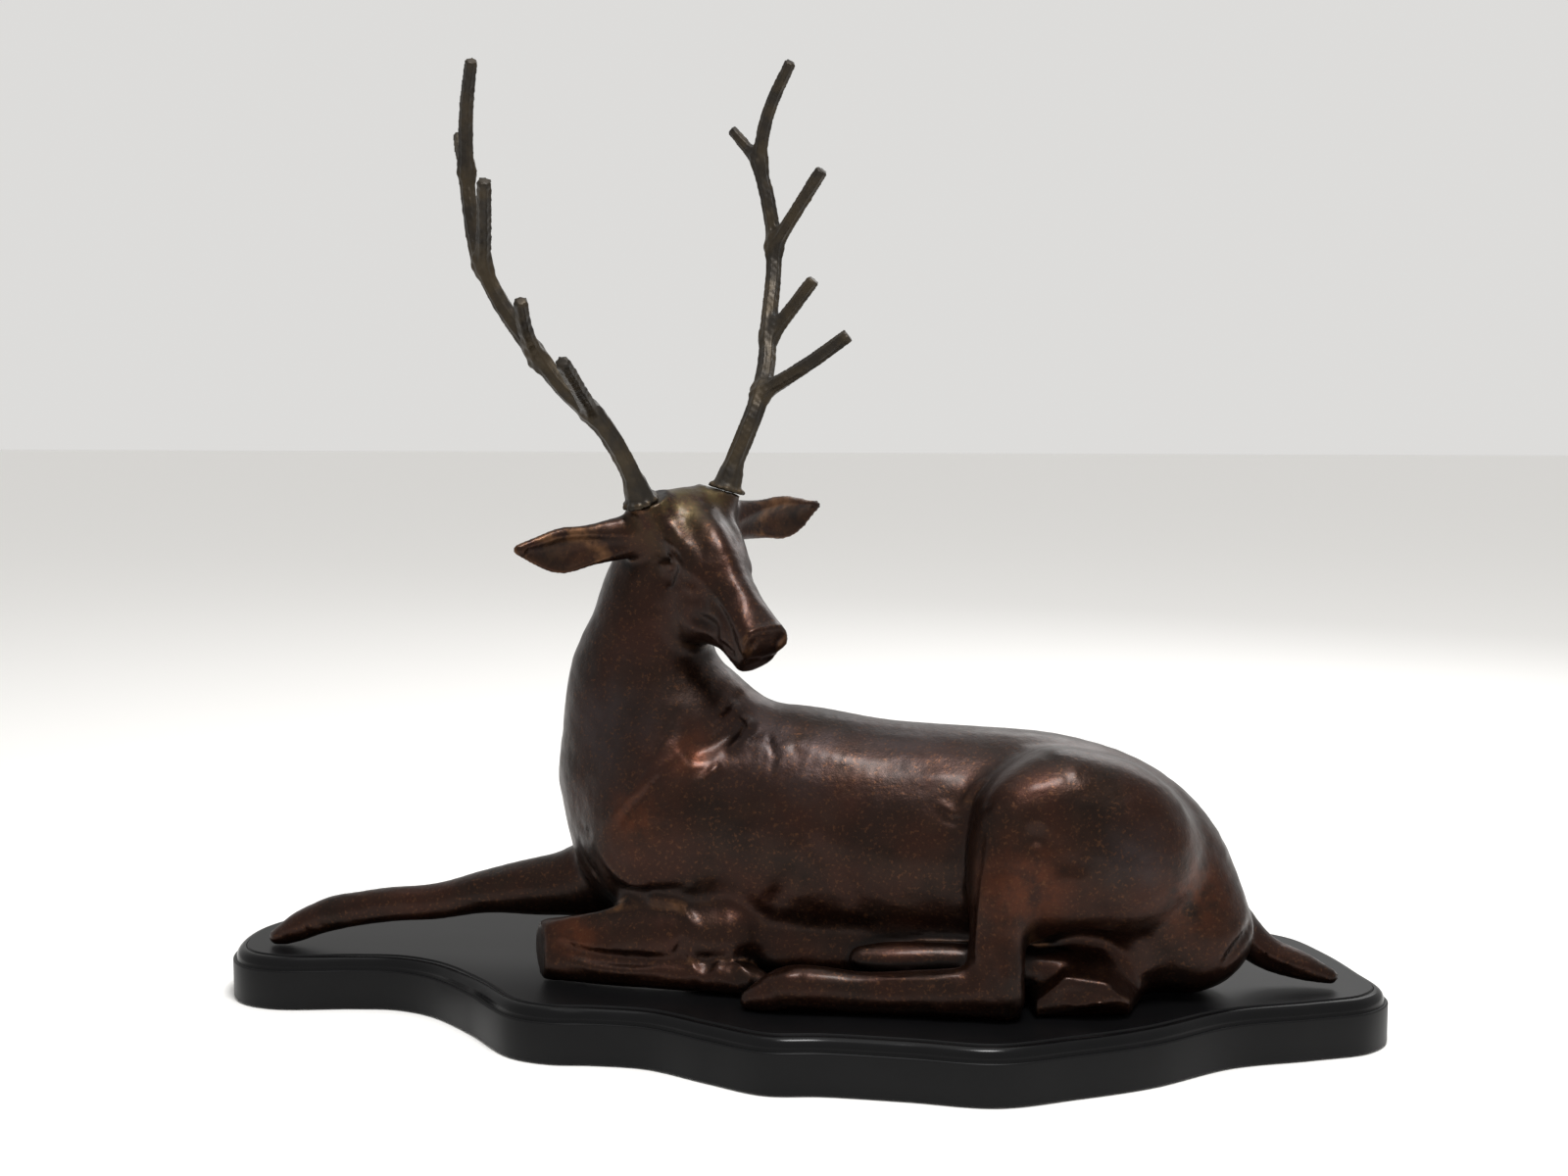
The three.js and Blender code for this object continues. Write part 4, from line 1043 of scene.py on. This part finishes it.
outline = closed_curve(OUTLINE, OUTLINE_STEPS)
print("outline box centre, mm:", (outline.min(0) + outline.max(0)) / 2)

# %% [markdown]
# The profile is listed as the bit cuts it: how far in from the outline, and how high. From below: an
# eased bottom edge, the upright side, a small arris, a fine step, a round bead, and another fine step up
# to the top.

# %% Profile of the board's edge
SIDE_TOP = 18.4
BEAD_FOOT = 19.6
BEAD_TOP = 24.9
BEAD_REACH = (1.8, 6.7)
TOP_INSET = 7.5
TURN_STEPS = 9


def arc(centre, radii, start, end, steps):
    """Points along part of an ellipse, from one angle to another in degrees."""
    angles = np.radians(np.linspace(start, end, steps + 1))
    return [(centre[0] + radii[0] * math.cos(a), centre[1] + radii[1] * math.sin(a)) for a in angles]


def edge_profile():
    rows = arc((1, 1), (1, 1), 270, 180, 3)
    rows += arc((0.8, SIDE_TOP), (0.8, 0.8), 180, 90, 4)
    rows.append((BEAD_REACH[0] - 0.3, BEAD_FOOT - 0.5))
    rows.append((BEAD_REACH[0], BEAD_FOOT))
    bead_width = BEAD_REACH[1] - BEAD_REACH[0]
    bead = (bead_width - 0.7, BEAD_TOP - BEAD_FOOT)
    rows += arc((BEAD_REACH[1] - 0.7, BEAD_FOOT), bead, 180, 84, TURN_STEPS)[1:]
    rows.append((BEAD_REACH[1], BEAD_TOP - 0.4))
    rows.append((TOP_INSET - 0.3, BOARD_HEIGHT - 0.15))
    rows.append((TOP_INSET, BOARD_HEIGHT))
    return rows


profile = edge_profile()
print("profile points:", len(profile))

# %% [markdown]
# Both lines become curve objects that feed the node tree. The outline is stretched by a hair so that its
# box is the box of the solid board.

# %% Lines that feed the tree


def line_object(name, points, closed):
    curve = bpy.data.curves.new(name, "CURVE")
    curve.dimensions = "3D"
    spline = curve.splines.new("POLY")
    spline.points.add(len(points) - 1)
    for point, place in zip(spline.points, points):
        point.co = (*place, 1)
    spline.use_cyclic_u = closed
    return placed(name, curve)


low, high = outline.min(0), outline.max(0)
fitted = board_low[:2] + (outline - low) / (high - low) * (board_high - board_low)[:2]
outline_line = line_object("board_outline", [(x, y, 0) for x, y in fitted], True)
profile_line = line_object("board_profile", [(-inset * MM, -z * MM, 0) for inset, z in profile], False)
print("curves:", outline_line.name, profile_line.name)

# %% [markdown]
# One small helper adds a node, sets its values and joins its inputs. It serves the node tree of the board
# and all the materials.

# %% Node helper


def add_node(tree, kind, settings=None, links=None):
    """Settings hold the node's properties or the values of its inputs, links what feeds its inputs."""
    node = tree.nodes.new(kind)
    for name, value in (settings or {}).items():
        if isinstance(name, str) and hasattr(node, name):
            setattr(node, name, value)
        else:
            node.inputs[name].default_value = value
    for name, source in (links or {}).items():
        tree.links.new(source, node.inputs[name])
    return node


# %% [markdown]
# The tree: the outline's normals are laid level, so that the profile stands upright all round. The top
# and the bottom are the same outline moved in by the profile's end insets, filled, and lifted to height.

# %% Node tree of the board
WELD = 1e-5


def out_of(tree, kind, settings=None, links=None):
    """The first output of a node that is added for it."""
    return add_node(tree, kind, settings, links).outputs[0]


def moved_in(tree, curve, inset, height=None):
    """The curve moved in by the inset, filled, and lifted where a height is given."""
    normal = out_of(tree, "GeometryNodeInputNormal")
    inward = out_of(tree, "ShaderNodeMath", {"operation": "MULTIPLY", 1: -1.0}, {0: inset})
    step = out_of(tree, "ShaderNodeVectorMath", {"operation": "SCALE"}, {0: normal, "Scale": inward})
    line = out_of(tree, "GeometryNodeSetPosition", None, {"Geometry": curve, "Offset": step})
    flat = out_of(tree, "GeometryNodeFillCurve", {"mode": "NGONS"}, {"Curve": line})
    if height is None:
        return flat
    lift = out_of(tree, "ShaderNodeCombineXYZ", None, {"Z": height})
    return out_of(tree, "GeometryNodeTransform", None, {"Geometry": flat, "Translation": lift})


def board_tree():
    tree = bpy.data.node_groups.new("moulded board", "GeometryNodeTree")
    for name, kind in (
        ("Geometry", "Geometry"), ("Profile", "Object"), ("Bottom inset", "Float"),
        ("Top inset", "Float"), ("Board height", "Float"), ("Finish", "Material"),
    ):
        tree.interface.new_socket(name, in_out="INPUT", socket_type="NodeSocket" + kind)
    tree.interface.new_socket("Geometry", in_out="OUTPUT", socket_type="NodeSocketGeometry")
    given = add_node(tree, "NodeGroupInput").outputs
    line = out_of(tree, "GeometryNodeSetCurveNormal", {"mode": "Z_UP"}, {"Curve": given["Geometry"]})
    bit = add_node(tree, "GeometryNodeObjectInfo", None, {"Object": given["Profile"]}).outputs["Geometry"]
    edge = out_of(tree, "GeometryNodeCurveToMesh", None, {"Curve": line, "Profile Curve": bit})
    bottom = moved_in(tree, line, given["Bottom inset"])
    bottom = out_of(tree, "GeometryNodeFlipFaces", None, {"Mesh": bottom})
    top = moved_in(tree, line, given["Top inset"], given["Board height"])
    joined = add_node(tree, "GeometryNodeJoinGeometry")
    for part in (top, bottom, edge):
        tree.links.new(part, joined.inputs[0])
    welded = {"Geometry": joined.outputs[0]}
    welded = out_of(tree, "GeometryNodeMergeByDistance", {"Distance": WELD}, welded)
    real = out_of(tree, "GeometryNodeRealizeInstances", None, {"Geometry": welded})
    done = out_of(tree, "GeometryNodeSetMaterial", None, {"Geometry": real, "Material": given["Finish"]})
    add_node(tree, "NodeGroupOutput", None, {"Geometry": done})
    return tree


# %% [markdown]
# # Finishes
#
# Colours are given as they look on a screen, so one function turns them into the linear values that the
# renderer works in. Pattern sizes are given in millimetres on the real piece.

# %% Colour and pattern helpers


def colour(code):
    channels = [int(code[n : n + 2], 16) / 255 for n in (1, 3, 5)]
    linear = [c / 12.92 if c <= 0.04045 else ((c + 0.055) / 1.055) ** 2.4 for c in channels]
    return (*linear, 1)


def per_metre(size_mm):
    """Pattern scale whose features are about this many millimetres apart."""
    return 1 / (size_mm * MM)


def new_finish(name):
    finish = bpy.data.materials.new(name)
    finish.use_nodes = True
    shader = finish.node_tree.nodes["Principled BSDF"]
    return finish, finish.node_tree, shader


def pattern(tree, size_mm, detail=3, roughness=0.55, seed=0.0, stretch=(1, 1, 1)):
    """A cloudy pattern fixed to the object."""
    place = add_node(tree, "ShaderNodeTexCoord").outputs["Object"]
    moved = {"Location": (seed, 0.7 * seed, 0.3 * seed), "Scale": stretch}
    place = out_of(tree, "ShaderNodeMapping", moved, {"Vector": place})
    settings = {"Scale": per_metre(size_mm), "Detail": detail, "Roughness": roughness}
    return add_node(tree, "ShaderNodeTexNoise", settings, {"Vector": place}).outputs["Fac"]


def ramp(tree, source, low, high, to_low=0.0, to_high=1.0):
    settings = {"From Min": low, "From Max": high, "To Min": to_low, "To Max": to_high}
    return add_node(tree, "ShaderNodeMapRange", settings, {"Value": source}).outputs["Result"]


def mix(tree, amount, under, over):
    """Colours or colour sockets mixed by an amount."""
    node = add_node(tree, "ShaderNodeMix", {"data_type": "RGBA"}, {0: amount})
    for place, value in ((6, under), (7, over)):
        if isinstance(value, tuple):
            node.inputs[place].default_value = value
        else:
            tree.links.new(value, node.inputs[place])
    return node.outputs[2]


def product(tree, a, b):
    return out_of(tree, "ShaderNodeMath", {"operation": "MULTIPLY"}, {0: a, 1: b})


def attribute(tree, name):
    return add_node(tree, "ShaderNodeAttribute", {"attribute_name": name}).outputs["Fac"]


def paint(tree, shader, ground, coats):
    """Coats of colour one over another on a ground: (how much shows, colour)."""
    shown = colour(ground)
    for amount, tint in coats:
        shown = mix(tree, amount, shown, colour(tint))
    tree.links.new(shown, shader.inputs["Base Color"])


def roughen(tree, shader, source, smoothest, roughest):
    tree.links.new(ramp(tree, source, 0.3, 0.7, smoothest, roughest), shader.inputs["Roughness"])


def bump(tree, shader, layers):
    """Stacks of (height socket, strength, depth in mm), one on another."""
    normal = None
    for height, strength, depth in layers:
        links = {"Height": height}
        if normal:
            links["Normal"] = normal
        settings = {"Strength": strength, "Distance": depth * MM}
        normal = add_node(tree, "ShaderNodeBump", settings, links).outputs[0]
    tree.links.new(normal, shader.inputs["Normal"])


# %% [markdown]
# ## Patinated cast iron
#
# The metal is browned with chemicals and heat and then waxed. The brown is a thin film, so the metal
# still gives the highlights their weight: a broad soft sheen, deep brown patina in the hollows darkened
# further by painted shade, red-brown in clouds, greyer where the wax is thickest and tan where hands and
# cloths have rubbed the ridges.

# %% Patinated cast iron


def patinated_cast_iron():
    finish, tree, shader = new_finish("patinated cast iron")
    cloudy = ramp(tree, pattern(tree, 11, 4, 0.6, 7.7), 0.35, 0.6)
    waxy = ramp(tree, pattern(tree, 24, 4, 0.5, 2.6), 0.35, 0.65, 0, 0.8)
    ridge = attribute(tree, "ridge")
    worn = product(tree, ramp(tree, ridge, 0.3, 0.7, 0, 0.65), ramp(tree, pattern(tree, 6, 3), 0.35, 0.6))
    # A leaf as thin as an ear reads as one ridge all over, and isn't rubbed as much
    worn = product(tree, worn, ramp(tree, ridge, 0.97, 0.85, 0.2, 1))
    paint(tree, shader, "#1b0e07", [
        (ramp(tree, pattern(tree, 34, 4), 0.38, 0.66), "#2b140a"),
        (ramp(tree, pattern(tree, 15, 5, 0.6, 3.1), 0.5, 0.7, 0, 0.5), "#2c1b11"),
        (product(tree, attribute(tree, "rust"), cloudy), "#46220f"),
        (product(tree, attribute(tree, "film"), waxy), "#342b2b"),
        (product(tree, attribute(tree, "crust"), cloudy), "#4c4226"),
        # Freckles of rust under the wax
        (ramp(tree, pattern(tree, 1.7, 3, 0.6, 1.9), 0.56, 0.7, 0, 0.5), "#54351f"),
        # Painted shade: near black the deeper a place lies in a hollow, over the patina that stays dark
        # there
        (ramp(tree, attribute(tree, "hollow_shade"), 0.12, 0.6, 0, 0.85), "#0f0907"),
        (worn, "#6b4a30"),
    ])
    shader.inputs["Metallic"].default_value = 0.85
    roughen(tree, shader, pattern(tree, 12, 4, 0.6, 5.3), 0.3, 0.44)
    shader.inputs["Coat Weight"].default_value = 0.1
    shader.inputs["Coat Roughness"].default_value = 0.2
    bump(tree, shader, [
        (pattern(tree, 16, 3, 0.5, 2.2), 0.5, 0.9),
        (pattern(tree, 4.5, 4, 0.6, 4.1), 0.5, 0.4),
        (pattern(tree, 1.4, 3, 0.7, 6.4), 0.6, 0.16),
    ])
    return finish


# %% [markdown]
# ## Antler metal
#
# The antlers were cast from another melt and coloured less: an olive brown, darkened in the grooves by
# painted shade, and brassy at the tips, with a duller sheen than the body.

# %% Antler metal


def browned_antler_metal():
    finish, tree, shader = new_finish("browned antler metal")
    paint(tree, shader, "#1e1810", [
        (ramp(tree, pattern(tree, 14, 4), 0.4, 0.62), "#332919"),
        # Painted shade: near black the deeper a place lies in a groove or hollow
        (ramp(tree, attribute(tree, "hollow_shade"), 0.15, 0.6, 0, 0.85), "#0c0906"),
        (ramp(tree, attribute(tree, "ridge"), 0.6, 0.95, 0, 0.45), "#5e492c"),
    ])
    shader.inputs["Metallic"].default_value = 0.55
    roughen(tree, shader, pattern(tree, 7, 4, 0.6, 5.3), 0.38, 0.56)
    bump(tree, shader, [
        (pattern(tree, 3.5, 4, 0.6, 4.1, (1, 1, 0.35)), 0.6, 0.4),
        (pattern(tree, 0.8, 3, 0.7, 6.4), 0.5, 0.1),
    ])
    return finish


# %% [markdown]
# ## Black lacquer
#
# The board is wood under black lacquer, rubbed to a satin. Only the bead was left with more gloss. Up
# close the film has a fine ripple, and the grain below no longer shows.

# %% Black lacquer


def black_lacquer():
    finish, tree, shader = new_finish("black lacquered wood")
    place = add_node(tree, "ShaderNodeTexCoord").outputs["Object"]
    height = add_node(tree, "ShaderNodeSeparateXYZ", None, {0: place}).outputs["Z"]
    paint(tree, shader, "#060607", [(ramp(tree, pattern(tree, 40, 3), 0.35, 0.65), "#0a0a0b")])
    shader.inputs["Specular IOR Level"].default_value = 0.15
    over_step = ramp(tree, height, (BEAD_FOOT - 0.6) * MM, BEAD_FOOT * MM)
    under_top = ramp(tree, height, (BEAD_TOP + 0.2) * MM, (BEAD_TOP - 0.2) * MM)
    on_bead = product(tree, over_step, under_top)
    tree.links.new(ramp(tree, on_bead, 0, 1, 0.4, 0.2), shader.inputs["Roughness"])
    bump(tree, shader, [(pattern(tree, 2.5, 2, 0.5, 1.3), 0.15, 0.03)])
    return finish


iron, antler_metal, lacquer = patinated_cast_iron(), browned_antler_metal(), black_lacquer()
stag.data.materials.append(iron)
for piece in (antler_right, antler_left):
    piece.data.materials.append(antler_metal)
print("finishes:", [m.name for m in bpy.data.materials])

# %% [markdown]
# The tree now runs on the outline. Its result is kept as a plain mesh, and the two lines that fed it go.

# %% Sweep the board
SHARP_EDGE = math.radians(32)


def make_board():
    tree = board_tree()
    made = outline_line.modifiers.new("moulding", "NODES")
    made.node_group = tree
    values = {
        "Profile": profile_line,
        "Bottom inset": profile[0][0] * MM,
        "Top inset": profile[-1][0] * MM,
        "Board height": BOARD_HEIGHT * MM,
        "Finish": lacquer,
    }
    for item in tree.interface.items_tree:
        if item.in_out == "INPUT" and item.name in values:
            made[item.identifier] = values[item.name]
    dg = bpy.context.evaluated_depsgraph_get()
    mesh = bpy.data.meshes.new_from_object(outline_line.evaluated_get(dg))
    for line in (outline_line, profile_line):
        bpy.data.objects.remove(line)
    mesh.shade_smooth()
    mesh.set_sharp_from_angle(angle=SHARP_EDGE)
    return placed("board_lacquered", mesh)


board = make_board()
board_box = np.array(board.bound_box)[[0, 6]] / MM
print("board box, mm:", np.round(board_box, 2), "slots", len(board.data.materials))

# %% [markdown]
# Each piece takes the place of one solid. Nothing on the statue moves, so all of them ride on the root.

# %% Hand the pieces to the frame
for piece, node, slot in (
    (stag, "stag", "patinated_iron"),
    (antler_right, "antler_right", "antler_metal"),
    (antler_left, "antler_left", "antler_metal"),
    (board, "plinth", "black_lacquer"),
):
    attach(piece, "root")
    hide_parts(node)
print("pieces handed over")

# %% [markdown]
# ## Studio
#
# A plain pale floor and three soft boxes. A small strong one, nearly overhead and a little to the front,
# gives the highlights on the back, the thigh and the bridge of the nose. A large weak one overhead
# fills them in, and one behind draws a bright line on the back and on the board's bead.

# %% Floor and light
FLOOR_HALF = 9
FLOOR_DROP = 0.0005


def soft_box(name, place, aim, size, power):
    light = bpy.data.lights.new(name, "AREA")
    light.shape = "RECTANGLE"
    light.size, light.size_y = size
    light.energy = power
    made = placed(name, light)
    made.location = place
    made.rotation_euler = (Vector(aim) - Vector(place)).to_track_quat("-Z", "Y").to_euler()


def pale_floor():
    mesh = bpy.data.meshes.new("floor")
    corners = [(FLOOR_HALF * x, FLOOR_HALF * y, 0) for x, y in ((-1, -1), (1, -1), (1, 1), (-1, 1))]
    mesh.from_pydata(corners, [], [(0, 1, 2, 3)])
    finish, _, shader = new_finish("pale studio floor")
    shader.inputs["Base Color"].default_value = colour("#f6f5f3")
    shader.inputs["Roughness"].default_value = 0.8
    mesh.materials.append(finish)
    return placed("floor", mesh)


floor = pale_floor()
floor.location.z = -FLOOR_DROP
soft_box("key", (0.2, -0.5, 1.4), (0.0, 0.0, 0.15), (0.38, 0.28), 16)
soft_box("over", (0.0, 0.1, 1.6), (0.0, 0.0, 0.1), (1.3, 0.9), 4)
soft_box("rim", (0.5, 1.1, 0.9), (0.0, 0.0, 0.15), (0.9, 0.6), 4)

world = bpy.data.worlds.new("studio")
world.use_nodes = True
sky = world.node_tree.nodes["Background"].inputs
sky["Color"].default_value, sky["Strength"].default_value = colour("#f4f3f1"), 0.8
bpy.context.scene.world = world
bpy.context.scene.view_settings.view_transform = "Standard"
print("lights:", [light.name for light in bpy.data.lights])
